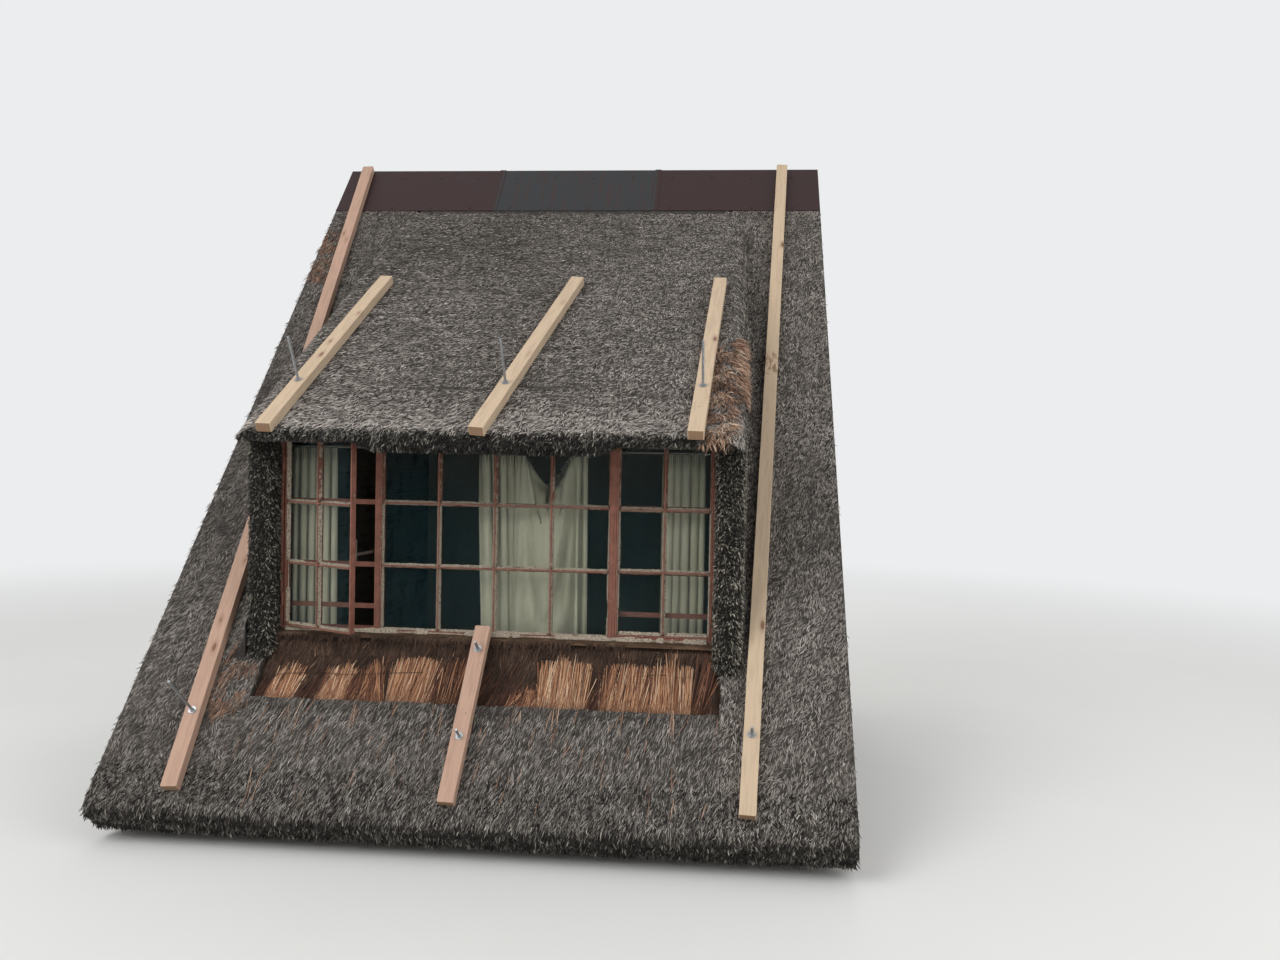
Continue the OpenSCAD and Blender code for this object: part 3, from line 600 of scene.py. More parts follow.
def finish_thatch():
    """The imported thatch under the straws, on every thatch node."""
    s = settings("thatch")
    # Painted shade: the dark of the packed thatch stands in for the shaded gaps between straws
    dark = lighter(s.shadow, 0.8)
    main = bed_finish("packed_thatch", dark, srgb(104, 98, 92), slope.pitch)
    wear(main, "thatch_slope_left", "thatch_slope_right", "thatch_apron_coat")
    # Painted shade: the cheeks' packed thatch is coloured very dark
    wear(bed_finish("packed_cheek_thatch", srgb(24, 23, 21), srgb(62, 59, 54), slope.pitch),
        "thatch_cheek_left", "thatch_cheek_right")
    # Painted shade on the underside of the dormer's eave, below these heights
    roof = bed_finish("packed_roof_thatch", dark, srgb(112, 106, 100), dormer.pitch, (lip_z + 0.06, lip_z + 0.11))
    wear(roof, "thatch_dormer_roof")
    wear(bed_finish("rotten_reed_bed", srgb(44, 33, 27), srgb(88, 67, 55), slope.pitch), "thatch_apron_base")


def grey_straw(name, shade=1.0):
    """The finish of weathered straw."""
    s = settings("thatch")
    return straw_finish(name, straw_stops(s.shadow, lighter(s.weathered, shade), lighter(s.bleached, shade)), 0.8)


# Torn courses on the dormer's roof: X and distance up the slope at their corners
TORN_COURSES = (
    ((-0.98, 0.434), (-0.83, 0.45)), ((-0.93, 0.95), (-0.76, 0.98)), ((-0.89, 0.80), (-0.83, 0.815)),
    ((-0.64, 0.15), (-0.41, 0.09), (-0.05, 0.09), (0.10, 0.125), (0.62, 0.12)), ((0.69, 1.57), (0.91, 1.557)),
    ((0.87, 1.356), (0.95, 1.30)), ((-0.95, 1.288), (-0.79, 1.315)), ((-0.64, 2.278), (-0.44, 2.318)),
)


def above_torn_course(x, u, points):
    """The distance of each place above the nearest torn course below it, or a large number."""
    wobble = (cloud(points, 0.07, 31) - 0.5) * 0.03 + (cloud(points, 0.02, 32) - 0.5) * 0.012
    above = np.full(len(x), 9.0)
    for course in TORN_COURSES:
        at_x, at_u = np.array(course).T
        along = (x > at_x[0]) & (x < at_x[-1]) & (cloud(points * np.array((1, 0, 0)), 0.06, 33) > 0.28)
        height = u - np.interp(x, at_x, at_u) - wobble
        above = np.where(along & (height > -0.011) & (height < above), height, above)
    return above


def lay_dormer_roof():
    """Straw ends on the dormer's roof, with torn courses whose straws are darker, partly as painted shade in the
    cracks, in a left and a right half.
    """
    finish = grey_straw("straw_roof")
    for side, name in ((-1, "left"), (1, "right")):
        lay_half_roof(side, f"straw_roof_{name}", finish)


def lay_half_roof(side, name, finish):
    s = settings("thatch")

    def keep(points, normals):
        x, u, n = dormer.read(points)
        under_cap = points[:, 1] > cap_low.y + 0.02
        above = above_torn_course(x, u, points)
        off_slope = slope.read(points)[2]
        shoulder = (np.abs(x) > dormer_half - 0.14) & (off_slope > -0.03) & (off_slope < 0.25)
        on_top = ((normals[:, 2] > 0.25) & (normals[:, 1] > -0.7)) | (shoulder & (normals[:, 2] > -0.1))
        return on_top & ~under_cap & (above > 0) & (x * side >= 0)

    points, normals, rng = spread(["thatch_dormer_roof"], s.straws_per_m2, 11 + side, keep)
    x, u, n = dormer.read(points)
    wave = streaks(points, 0.09, 0.05, 1) + 0.5 * streaks(points, 0.03, 0.02, 2)
    band = streaks(points, 0.11, 0.014, 4)
    near_eave = np.clip(1 - (u + 0.36) / 0.4, 0, 1)
    across = np.clip((x + 1.2) / 2.4, 0, 1)
    lean = -(1.15 - 0.8 * across) * (1 - near_eave) - (0.85 - 0.35 * across) * near_eave
    lean += 1.5 * wave + rng.normal(0, 0.4, len(x))
    length = s.straw_length * rng.uniform(0.6, 1.15, len(x)) * (0.9 + 0.4 * near_eave)
    above = above_torn_course(x, u, points)
    torn = above < length
    length = np.where(torn, np.maximum(above * 0.9, 0.008), length)
    raised = np.clip(rng.normal(0.14, 0.07, len(x)) + 0.12 * torn, 0.02, 0.6)
    # Torn straws are darker: partly their own colour, partly painted shade in the cracks
    tone = 0.52 + 0.3 * band + 0.2 * wave + 0.34 * near_eave + rng.normal(0, 0.18, len(x)) - 0.08 * torn
    tone += 0.16 * (cloud(points, 0.4, 3) - 0.5)
    tone -= 0.16 * np.clip((u - 0.6) / 1.4, 0, 1) * np.clip(0.7 - x, 0, 1)
    straw_object(name, points, comb(normals, lean, raised), normals, length,
        s.straw_width * rng.uniform(0.75, 1.3, len(x)), tone, rng, finish)


def lay_slopes():
    """Straw ends on the strips of main roof and the valleys at both sides."""
    s = settings("thatch")
    for side, name in ((-1, "left"), (1, "right")):
        def keep(points, normals):
            x, u, n = slope.read(points)
            under_cap = points[:, 1] > cap_low.y + 0.02
            above = (normals[:, 2] > 0.1) & (n > -0.03)
            beside = (np.abs(x) > wall_x - 0.01) & (points[:, 1] < face_y - 0.1)
            high = (np.abs(x) > dormer_half - 0.14) & (dormer.read(points)[2] > -0.13)
            return above & ~under_cap & ((np.abs(x) > dormer_half - 0.005) | beside | high)

        points, normals, rng = spread([f"thatch_slope_{name}"], s.straws_per_m2, 20 + side, keep)
        x, u, n = slope.read(points)
        strips = cloud(points * np.array((1.0, 0.3, 0.3)), 0.02, 5) - 0.5
        clumps = cloud(points, 0.05, 6) - 0.5
        lean = -0.35 + 1.3 * clumps + rng.normal(0, 0.34, len(x))
        raised = np.clip(rng.normal(0.14, 0.07, len(x)), 0.02, 0.5)
        tone = 0.5 + 0.22 * clumps + 0.25 * strips + rng.normal(0, 0.17, len(x))
        tone += 0.2 * (cloud(points, 0.5, 7) - 0.5)
        length = s.straw_length * rng.uniform(0.6, 1.15, len(x))
        finish = grey_straw(f"straw_main_{name}", 0.8 if side < 0 else 1.0)
        straw_object(f"straw_slope_{name}", points, comb(normals, lean, raised), normals, length,
            s.straw_width * rng.uniform(0.65, 1.05, len(x)), tone, rng, finish)


def lay_apron():
    """Straw ends on the grey coat below the window, with a ragged upper edge."""
    s = settings("thatch")

    def keep(points, normals):
        x, u, n = slope.read(points)
        return (normals[:, 2] > 0.1) & (n > -0.03) & (u < coat_top_u - 0.002)

    points, normals, rng = spread(["thatch_apron_coat"], s.straws_per_m2 * 1.4, 31, keep)
    x, u, n = slope.read(points)
    clumps = cloud(points, 0.04, 8) - 0.5
    strips = cloud(points * np.array((1.0, 0.3, 0.3)), 0.014, 10) - 0.5
    edge = np.clip(1 - (coat_top_u - u) / 0.06, 0, 1)
    lean = -0.3 + 0.4 * clumps + rng.normal(0, 0.2, len(x))
    raised = np.clip(rng.normal(0.14, 0.08, len(x)) + 0.12 * edge, 0.02, 0.5)
    tone = 0.46 + 0.12 * clumps + 0.3 * strips + rng.normal(0, 0.3, len(x)) + 0.2 * (cloud(points, 0.35, 9) - 0.5)
    tone -= 0.22 * edge
    length = s.straw_length * rng.uniform(0.7, 1.6, len(x))

    count = 2600
    x_edge = rng.uniform(-1.14, 1.14, count)
    ragged = 0.012 * cloud(np.stack([x_edge, x_edge * 0, x_edge * 0], 1), 0.05, 11)
    u_edge = coat_top_u + ragged * rng.uniform(0, 1, count)
    edge_points = np.array([slope.place(*p) for p in zip(x_edge, u_edge, rng.uniform(-0.012, 0.004, count))])
    points = np.concatenate([points, edge_points])
    normals = np.concatenate([normals, np.tile(slope.normal, (count, 1))])
    lean = np.concatenate([lean, rng.normal(-0.25, 0.3, count)])
    raised = np.concatenate([raised, np.clip(rng.normal(0.2, 0.12, count), 0, 0.5)])
    tone = np.concatenate([tone, 0.34 + rng.normal(0, 0.2, count)])
    length = np.concatenate([length, rng.uniform(0.025, 0.05, count)])
    straw_object("straw_apron_coat", points, comb(normals, lean, raised), normals, length,
        s.straw_width * rng.uniform(0.5, 0.8, len(points)), tone, rng, grey_straw("straw_apron", 0.88))


# Bare reed below the window: X of each patch at its foot and at its top, the height of the top, and its tone
REED_PATCHES = (
    (-1.085, -0.945, -1.045, -0.935, -0.20, 0.60), (-0.83, -0.69, -0.775, -0.68, -0.19, 0.66),
    (-0.69, -0.62, -0.665, -0.605, -0.22, 0.30), (-0.617, -0.487, -0.606, -0.545, -0.17, 0.42),
    (-0.47, -0.284, -0.452, -0.257, -0.13, 0.62), (-0.284, -0.114, -0.258, -0.109, -0.15, 0.22),
    (0.105, 0.273, 0.16, 0.266, -0.28, 0.40), (0.274, 0.493, 0.283, 0.50, -0.095, 0.66),
    (0.568, 0.805, 0.60, 0.812, -0.12, 0.55), (0.806, 0.994, 0.814, 0.987, -0.09, 0.60),
    (1.0, 1.056, 1.065, 1.125, -0.02, 0.16),
)


def base_height():
    """The bare strip's profile: heights off the roof plane at distances up it."""
    points = np.array([v.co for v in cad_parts["thatch_apron_base"].data.vertices])
    x, u, n = slope.read(points)
    top = n > -0.08
    order = np.argsort(u[top])
    return u[top][order], n[top][order]


def in_patch(x, u):
    """True where a patch of bare reed lies."""
    inside = np.zeros(len(x), bool)
    for foot_left, foot_right, top_left, top_right, top_u, tone in REED_PATCHES:
        up = np.clip((u - coat_top_u) / (top_u - coat_top_u), 0, 1)
        left = foot_left + (top_left - foot_left) * up
        right = foot_right + (top_right - foot_right) * up
        inside |= (x > left) & (x < right) & (u < top_u - 0.03)
    return inside


def lay_bare_reed():
    """Long reeds that the missing coat has bared, in patches."""
    s = settings("thatch")
    reed_stops = [(0.0, srgb(56, 38, 33)), (0.28, srgb(98, 66, 54)), (0.6, tuple(s.reed)),
        (0.85, srgb(208, 160, 122)), (1.0, srgb(232, 200, 168))]
    finish = straw_finish("bare_reed_straw", reed_stops, 0.8)
    rng = np.random.default_rng(41)
    profile = base_height()
    rows = []
    for foot_left, foot_right, top_left, top_right, top_u, tone in REED_PATCHES:
        count = int((foot_right - foot_left) * 3300)
        t = rng.uniform(-0.03, 1.03, count)
        tuft = cloud(np.stack([t * (foot_right - foot_left), t * 0, t * 0], 1), 0.025, 14) - 0.5
        top = top_u + 0.09 * tuft + rng.normal(0, 0.012, count) - 0.16 * rng.random(count) ** 2.2
        top = np.maximum(top, coat_top_u + 0.02)
        foot_x = foot_left + (foot_right - foot_left) * t + rng.normal(0, 0.004, count)
        top_x = top_left + (top_right - top_left) * t + rng.normal(0, 0.018, count)
        rows.append(np.stack([foot_x, top_x, top, tone - 0.04 + rng.normal(0, 0.27, count) + 0.3 * tuft], 1))
    count = 1300
    foot_x = rng.uniform(-1.16, 1.1, count)
    foot_x = foot_x[~in_patch(foot_x, np.full(count, coat_top_u + 0.03))]
    count = len(foot_x)
    reach = 0.05 + 0.25 * rng.random(count) ** 1.7
    slant = np.interp(foot_x, (-1.1, 0.2, 1.1), (0.45, 0.3, 0.12)) + rng.normal(0, 0.12, count)
    rows.append(np.stack([foot_x, foot_x + reach * slant, coat_top_u + reach, rng.normal(0.14, 0.15, count)], 1))
    foot_x, top_x, top_u, tone = np.concatenate(rows).T
    foot_x, top_x = foot_x.clip(-1.13, 1.13), top_x.clip(-1.13, 1.13)
    total = len(foot_x)
    lift = rng.uniform(0.001, 0.014, total)
    foot_u = coat_top_u + rng.uniform(-0.004, 0.012, total)
    points = np.array([slope.place(*p) for p in zip(top_x, top_u, np.interp(top_u, *profile) + 0.4 * lift)])
    feet = np.array([slope.place(*p) for p in zip(foot_x, foot_u, np.interp(foot_u, *profile) + lift)])
    ahead = feet - points
    length = np.linalg.norm(ahead, axis=1)
    normals = np.tile(slope.normal, (total, 1))
    straw_object("reed_bare", points, unit(ahead), normals, length, 0.0034 * rng.uniform(0.6, 1.15, total),
        tone, rng, finish, droop=0.0)


def lay_rotten_band():
    """Matted rotten straw between the bare reeds and up to the ledge, and over parts of the ledge."""
    s = settings("thatch")
    stops = [(0.0, srgb(38, 29, 24)), (0.3, srgb(60, 46, 38)), (0.55, tuple(s.rotten)),
        (0.8, srgb(104, 80, 65)), (1.0, srgb(168, 134, 106))]
    finish = straw_finish("rotten_straw", stops, 0.8)

    def keep(points, normals):
        x, u, n = slope.read(points)
        return (normals[:, 2] > 0.2) & ~(in_patch(x, u) & (cloud(points, 0.01, 22) > 0.3)) & (np.abs(x) < 1.13)

    points, normals, rng = spread(["thatch_apron_base"], 19000, 42, keep)
    x, u, n = slope.read(points)
    clumps = cloud(points, 0.07, 13) - 0.5
    lean = -0.25 + 0.7 * clumps + rng.normal(0, 0.22, len(points))
    raised = np.clip(rng.normal(0.07, 0.05, len(points)), 0.0, 0.3)
    tone = 0.42 + 0.5 * clumps + rng.normal(0, 0.1, len(points)) + 0.12 * np.clip((u + 0.08) / 0.08, 0, 1)
    tone += 0.4 * (rng.random(len(points)) > 0.985)
    straw_object("straw_rotten_band", points, comb(normals, lean, raised), normals,
        rng.uniform(0.03, 0.075, len(points)), 0.0042 * rng.uniform(0.7, 1.2, len(points)), tone, rng, finish)

    def on_ledge(points, normals):
        covered = 0.75 - 0.55 * np.clip((points[:, 0] - 0.1) / 0.8, 0, 1)
        return (normals[:, 2] > -0.5) & (cloud(points, 0.09, 23) < covered + 0.1)

    points, normals, rng = spread(["sill_ledge"], 16000, 43, on_ledge)
    outward = unit(normals + np.array((0.0, -0.8, 0.3)))
    lean = rng.normal(-0.15, 0.5, len(points))
    raised = np.clip(rng.normal(0.1, 0.1, len(points)), 0.0, 0.5)
    tone = 0.5 + 0.5 * (cloud(points, 0.06, 24) - 0.5) + rng.normal(0, 0.1, len(points))
    straw_object("straw_ledge", points, comb(outward, lean, raised), outward,
        rng.uniform(0.02, 0.055, len(points)), 0.0042 * rng.uniform(0.7, 1.2, len(points)), tone, rng, finish,
        droop=0.3)


def lay_cheeks():
    """Straw on the cheeks: cut ends towards the front, coloured dark as painted shade, and combed straw on their sides,
    lighter where it faces sideways as painted light.
    """
    for side, name in ((-1, "left"), (1, "right")):
        # Painted shade: the left cheek's straw is darker all over
        painted_shade_factor = 0.62 if side < 0 else 1.0
        stops = straw_stops(srgb(26, 25, 23), lighter(srgb(98, 94, 85), painted_shade_factor), lighter(srgb(224, 217, 200), painted_shade_factor))
        finish = straw_finish(f"straw_cut_{name}", stops, 0.45)

        def keep(points, normals):
            in_front = points[:, 1] < face_y - 0.004
            outside = np.abs(points[:, 0]) > dormer_half - 0.06
            x, u, n = slope.read(points)
            return (np.abs(normals[:, 2]) < 0.8) & (in_front | outside) & (n > -0.02)

        points, normals, rng = spread([f"thatch_cheek_{name}"], 18500, 50 + side, keep)
        front = np.clip(-normals[:, 1], 0, 1)
        clumps = cloud(points, 0.03, 15) - 0.5
        lean = 0.7 * clumps + rng.normal(0, 0.6, len(points))
        raised = np.clip(rng.normal(0.45 + 0.5 * front, 0.3, len(points)), 0.02, 1.4)
        # Painted light: straw on faces turned sideways is lighter
        tone = 0.36 + 0.3 * clumps + rng.normal(0, 0.27, len(points)) + 0.16 * np.abs(normals[:, 0])
        length = rng.uniform(0.012, 0.028, len(points))
        straw_object(f"straw_cheek_{name}", points, comb(normals, lean, raised), normals, length,
            0.005 * rng.uniform(0.7, 1.2, len(points)), tone, rng, finish, droop=0.25)


def lay_eaves():
    """Cut ends along the dormer's eave and along the main eave, coloured dark as painted shade, the dormer's eave
    darker lower down as painted shade.
    """
    # Painted shade: the dark colours of the eaves' cut ends
    stops = straw_stops(srgb(18, 17, 16), srgb(64, 61, 57), srgb(196, 190, 178))
    finish = straw_finish("straw_eave", stops, 0.45)

    def dormer_front(points, normals):
        ahead = points[:, 1] < face_y - 0.1
        return ahead & ((normals[:, 1] < -0.66) | (normals[:, 2] < -0.5))

    points, normals, rng = spread(["thatch_dormer_roof"], 25000, 61, dormer_front)
    top = np.clip((points[:, 2] - lip_z) / 0.12, 0, 1)
    below = normals[:, 2] < -0.5
    clumps = cloud(points, 0.035, 16) - 0.5
    ahead_of = np.where(below[:, None], np.array((0.0, -1.0, 0.0)), normals)
    lean = -0.3 + 0.9 * clumps + rng.normal(0, 0.55, len(points))
    raised = np.clip(rng.normal(0.5, 0.3, len(points)), 0.02, 1.3)
    # Painted shade: the dormer's eave is darker towards its foot
    tone = 0.24 + 0.34 * top + 0.4 * clumps + rng.normal(0, 0.22, len(points))
    length = rng.uniform(0.014, 0.036, len(points)) * np.where(below, 0.8, 1.0)
    straw_object("straw_dormer_eave", points, comb(ahead_of, lean, raised), ahead_of, length,
        0.0048 * rng.uniform(0.7, 1.2, len(points)), tone, rng, finish, droop=0.25)

    def main_front(points, normals):
        low = points[:, 2] < 0.42
        return low & ((normals[:, 1] < -0.75) | (normals[:, 2] < -0.3)) & (np.abs(normals[:, 0]) < 0.5) & (
            points[:, 1] < cad_low.y + 0.13)

    nodes = ["thatch_slope_left", "thatch_slope_right", "thatch_apron_coat"]
    points, normals, rng = spread(nodes, 14500, 62, main_front)
    clumps = cloud(points, 0.035, 17) - 0.5
    outward = unit(normals * 0.6 + np.array((0.0, -0.4, 0.0)))
    lean = 0.8 * clumps + rng.normal(0, 0.45, len(points))
    raised = np.clip(rng.normal(0.35, 0.25, len(points)), 0.0, 1.0)
    tone = 0.38 + 0.5 * clumps + rng.normal(0, 0.2, len(points))
    length = np.minimum(rng.uniform(0.012, 0.036, len(points)), np.maximum(points[:, 2] - 0.03, 0.01))
    straw_object("straw_main_eave", points, comb(outward, lean, raised), outward, length,
        0.0056 * rng.uniform(0.7, 1.2, len(points)), tone, rng, finish, droop=0.1)


# Bunches of loose straws on the grey coat: X and distance up the slope of their tops, length and number
LOOSE_BUNCHES = ((-0.60, -0.375, 0.12, 4), (-0.58, -0.40, 0.16, 3), (-0.93, -0.41, 0.10, 3), (-0.865, -0.37, 0.12, 3),
    (0.36, -0.37, 0.13, 5), (0.92, -0.36, 0.15, 3), (0.20, -0.38, 0.09, 3), (-0.17, -0.40, 0.12, 2),
    (-0.40, -0.38, 0.08, 3), (0.68, -0.37, 0.07, 3))


# Torn parts of the left slope: from X, to X, and from and to along the slope
TORN_LEFT = ((-1.76, -1.61, 2.72, 3.32), (-1.33, -1.13, -0.36, -0.12))


def lay_loose():
    """The torn patches on the right shoulder and the left slope, and loose straws."""
    stops = [(0.0, srgb(60, 46, 39)), (0.3, srgb(116, 88, 72)), (0.6, srgb(170, 132, 108)),
        (0.85, srgb(206, 170, 144)), (1.0, srgb(232, 208, 184))]
    finish = straw_finish("torn_straw", stops, 0.65)

    def keep(points, normals):
        x, u, n = dormer.read(points)
        ragged = cloud(points, 0.08, 18) - 0.5
        right = np.interp(u, (-0.36, 0.02, 0.28, 0.8), (1.15, 1.18, 1.27, 1.27)) + 0.05 * ragged
        upper = np.interp(x, (1.03, 1.14, 1.2, 1.27), (0.62, 0.64, 0.76, 0.8)) + 0.1 * ragged
        gap = cloud(points, 0.045, 19) > 0.34
        return (normals[:, 2] > 0.02) & (n > -0.2) & (x > 1.03) & (x < right) & (u > -0.36) & (u < upper) & gap

    nodes = ["thatch_dormer_roof", "thatch_slope_right"]
    points, normals, rng = spread(nodes, 15000, 71, keep)
    lean = 0.9 * (cloud(points, 0.09, 20) - 0.5) + rng.normal(0.05, 0.35, len(points))
    lean += 0.3 * np.clip((points[:, 0] - 1.12) / 0.1, -1, 1)
    raised = np.clip(rng.normal(0.3, 0.18, len(points)), 0.05, 0.9)
    upper = dormer.read(points)[1] > 0.25
    tone = 0.52 + rng.normal(0, 0.26, len(points)) + 0.9 * (cloud(points, 0.05, 25) - 0.5) + 0.1 * upper
    straw_object("straw_torn_shoulder", points, comb(normals, lean, raised), normals,
        rng.uniform(0.03, 0.085, len(points)), 0.004 * rng.uniform(0.7, 1.2, len(points)), tone, rng, finish)

    def keep_left(points, normals):
        x, u, n = slope.read(points)
        ragged = cloud(points, 0.08, 26) - 0.5
        torn = np.zeros(len(x), bool)
        for from_x, to_x, from_u, to_u in TORN_LEFT:
            torn |= (x > from_x) & (x < to_x) & (u > from_u + 0.3 * ragged) & (u < to_u + 0.2 * ragged)
        return torn & (normals[:, 2] > 0.1) & (cloud(points, 0.05, 27) > 0.4)

    points, normals, rng = spread(["thatch_slope_left"], 9000, 73, keep_left)
    straw_object("straw_torn_slope", points, comb(normals, rng.normal(-0.2, 0.3, len(points)),
        np.full(len(points), 0.14)), normals, rng.uniform(0.03, 0.07, len(points)),
        0.004 * rng.uniform(0.7, 1.2, len(points)), rng.normal(0.36, 0.2, len(points)), rng, finish)

    rng = np.random.default_rng(72)
    rows = [(rng.uniform(-1.2, 1.2), coat_top_u - 0.5 * rng.random() ** 1.5, rng.uniform(0.05, 0.14), 0.5)
        for _ in range(90)]
    for x, u, length, number in LOOSE_BUNCHES:
        rows += [(x + rng.normal(0, 0.008), u + rng.normal(0, 0.012), length * rng.uniform(0.7, 1.1), 0.75)
            for _ in range(number)]
    x, u, length, tone = np.array(rows).T
    count = len(x)
    points = np.array([slope.place(*p) for p in zip(x, u, rng.uniform(0.008, 0.02, count))])
    normals = np.tile(slope.normal, (count, 1))
    lean = rng.normal(-0.1, 0.16, count)
    straw_object("straw_loose", points, comb(normals, lean, np.full(count, 0.03)), normals, length,
        0.0036 * rng.uniform(0.8, 1.1, count), tone + rng.normal(0, 0.12, count), rng, finish, droop=0.04)


# Timber

def timber_finish(name, dark, light, along, scale=1.0):
    """Old sawn timber whose grain runs along X, Y or Z."""
    finish = Finish(name, Specular_IOR_Level=0.3)
    place = finish.place()
    fine = [60.0 * scale] * 3
    fine["XYZ".index(along)] = 3.0 * scale
    grain = finish.noise(finish.stretch(place, tuple(fine)), 1.0, 6.0, 0.6, 0.4)
    broad = finish.noise(place, 3.0, 3.0)
    mask = (grain * 0.8 + broad * 0.4 - 0.1).over(0.25, 0.8)
    normal = finish.bump(grain, 0.002, 0.8)
    return finish.shade(Base_Color=finish.mix(mask, dark, light), Roughness=0.7 + grain * 0.25, Normal=normal)


def finish_timbers():
    """Rafters, laths, posts, beams, floor and boarded walls."""
    dark, light = srgb(58, 46, 37), srgb(112, 92, 74)
    wear(timber_finish("old_timber_along_x", dark, light, "X"), "laths_slope", "laths_apron", "laths_dormer",
        "wall_plate", "ridge_pole", "head_beam", "sill_beam")
    wear(timber_finish("old_timber_along_y", dark, light, "Y"), "rafters_slope", "rafters_apron",
        "rafters_dormer", "floor_joists")
    wear(timber_finish("old_timber_upright", dark, light, "Z"), "corner_posts")
    wear(floor_finish(), "floor_boards")
    wear(board_finish(), "front_wall", "cheek_wall_left", "cheek_wall_right")
    wear(plaster_finish(), "back_wall")
    wear(ledge_finish(), "sill_ledge")


def floor_finish():
    """Worn floor boards with dark joints between them."""
    finish = Finish("floor_boards_worn", Specular_IOR_Level=0.3)
    place = finish.place()
    board = 0.14
    across = finish.part(place, "X") / board
    joint = (across.math("FRACT") - 0.5).math("ABSOLUTE").over(0.46, 0.49)
    number = finish.add("ShaderNodeTexWhiteNoise", 0, {"noise_dimensions": "1D"}, {"W": across.math("FLOOR")})
    grain = finish.noise(finish.stretch(place, (70.0, 3.0, 40.0)), 1.0, 5.0)
    mask = (grain + number * 0.4 - 0.2).over(0.2, 0.9)
    wood = finish.mix(mask, srgb(70, 52, 38), srgb(140, 112, 84))
    colour = finish.mix(joint, wood, srgb(22, 17, 13))
    normal = finish.bump(grain * 0.2 - joint, 0.003, 0.8)
    return finish.shade(Base_Color=colour, Roughness=0.55 + grain * 0.3, Normal=normal)


def board_finish():
    """Limewashed boards, lying, with joints and worn patches; the wash is coloured dark as painted shade of the unlit
    room.
    """
    finish = Finish("limewashed_boards_in_painted_shade", Specular_IOR_Level=0.2)
    place = finish.place()
    board = 0.155
    up = finish.part(place, "Z") / board
    joint = (up.math("FRACT") - 0.5).math("ABSOLUTE").over(0.465, 0.49)
    grain = finish.noise(finish.stretch(place, (4.0, 4.0, 60.0)), 1.0, 6.0)
    worn = (finish.noise(place, 6.0, 6.0, 0.7) * 0.7 + grain * 0.4).over(0.55, 0.66)
    # Painted shade: the limewash is coloured dark for the unlit room
    wash_in_painted_shade = finish.mix(grain, srgb(84, 80, 72), srgb(112, 107, 97))
    colour = finish.mix(joint * 0.45, finish.mix(worn, wash_in_painted_shade, srgb(74, 62, 50)), srgb(44, 38, 31))
    normal = finish.bump(grain * 0.3 - joint - worn * 0.2, 0.003, 0.8)
    return finish.shade(Base_Color=colour, Roughness=0.75 + grain * 0.2, Normal=normal)


def plaster_finish():
    """Old limewashed plaster, with stains that run down."""
    finish = Finish("old_plaster", Specular_IOR_Level=0.2)
    place = finish.place()
    stains = finish.noise(finish.stretch(place, (3.0, 3.0, 0.8)), 1.0, 6.0, 0.6).over(0.45, 0.75)
    sand = finish.noise(place, 160.0, 3.0)
    lumps = finish.noise(place, 5.0, 5.0)
    low = 1 - finish.part(place, "Z").over(0.05, 0.7)
    colour = finish.mix(stains * 0.6, srgb(178, 171, 156), srgb(138, 127, 108))
    colour = finish.mix(low * 0.45, colour, srgb(110, 98, 80))
    normal = finish.bump(lumps + sand * 0.08, 0.01, 0.7)
    return finish.shade(Base_Color=colour, Roughness=0.85 + sand * 0.1, Normal=normal)


def ledge_finish():
    """The rotten ledge under the window, dark with dirt and paler mould."""
    finish = Finish("rotten_ledge", Specular_IOR_Level=0.2)
    place = finish.place()
    grain = finish.noise(finish.stretch(place, (5.0, 60.0, 60.0)), 1.0, 6.0, 0.65)
    mould = finish.noise(place, 14.0, 6.0, 0.7).over(0.52, 0.68)
    colour = finish.mix(grain.over(0.3, 0.7), srgb(48, 36, 28), srgb(98, 76, 58))
    colour = finish.mix(mould * 0.6, colour, srgb(128, 112, 92))
    normal = finish.bump(grain + mould * 0.5, 0.004, 0.9)
    return finish.shade(Base_Color=colour, Roughness=0.8 + mould * 0.15, Normal=normal)


# Metal

def finish_metal():
    """The ridge capping, the window's fittings and the rods."""
    s = settings("batten")
    finish = Finish("worn_capping", Specular_IOR_Level=0.4)
    place = finish.place()
    across = finish.part(place, "X")
    strap_x = cap_high.x / 3
    grey_sheet = across.over(-strap_x, 0.01 - strap_x) * (1 - across.over(strap_x - 0.01, strap_x))
    faded = (finish.noise(place, 3.2, 6.0, 0.68) * 0.6 + grey_sheet * 0.4 + 0.12).over(0.45, 0.7)
    runs = finish.noise(finish.stretch(finish.turn_x(place, -slope.pitch), (26.0, 1.8, 8.0)), 1.0, 6.0, 0.65)
    rust = (runs * 0.7 + faded * 0.12).over(0.44, 0.56)
    paint = finish.mix(faded, srgb(50, 30, 31), srgb(44, 46, 49))
    colour = finish.mix(rust * 0.5, paint, srgb(66, 44, 38))
    grain = finish.noise(place, 240.0, 2.0)
    normal = finish.bump(rust * 0.4 + grain * 0.1 + finish.noise(place, 4.0, 2.0) * 2.0, 0.002, 0.6)
    wear(finish.shade(Base_Color=colour, Roughness=0.55 + rust * 0.3, Metallic=0.3 - rust * 0.3, Normal=normal),
        "ridge_cap")

    finish = Finish("old_iron", Specular_IOR_Level=0.5)
    place = finish.place()
    spots = finish.noise(place, 90.0, 5.0, 0.7).over(0.5, 0.62)
    colour = finish.mix(spots, srgb(126, 122, 116), srgb(92, 60, 42))
    normal = finish.bump(spots, 0.0006, 0.8)
    wear(finish.shade(Base_Color=colour, Roughness=0.35 + spots * 0.4, Metallic=0.75 - spots * 0.6, Normal=normal),
        "casement_fittings", "curtain_rail")

    wear(zinc_finish(s.zinc), "batten_rods")


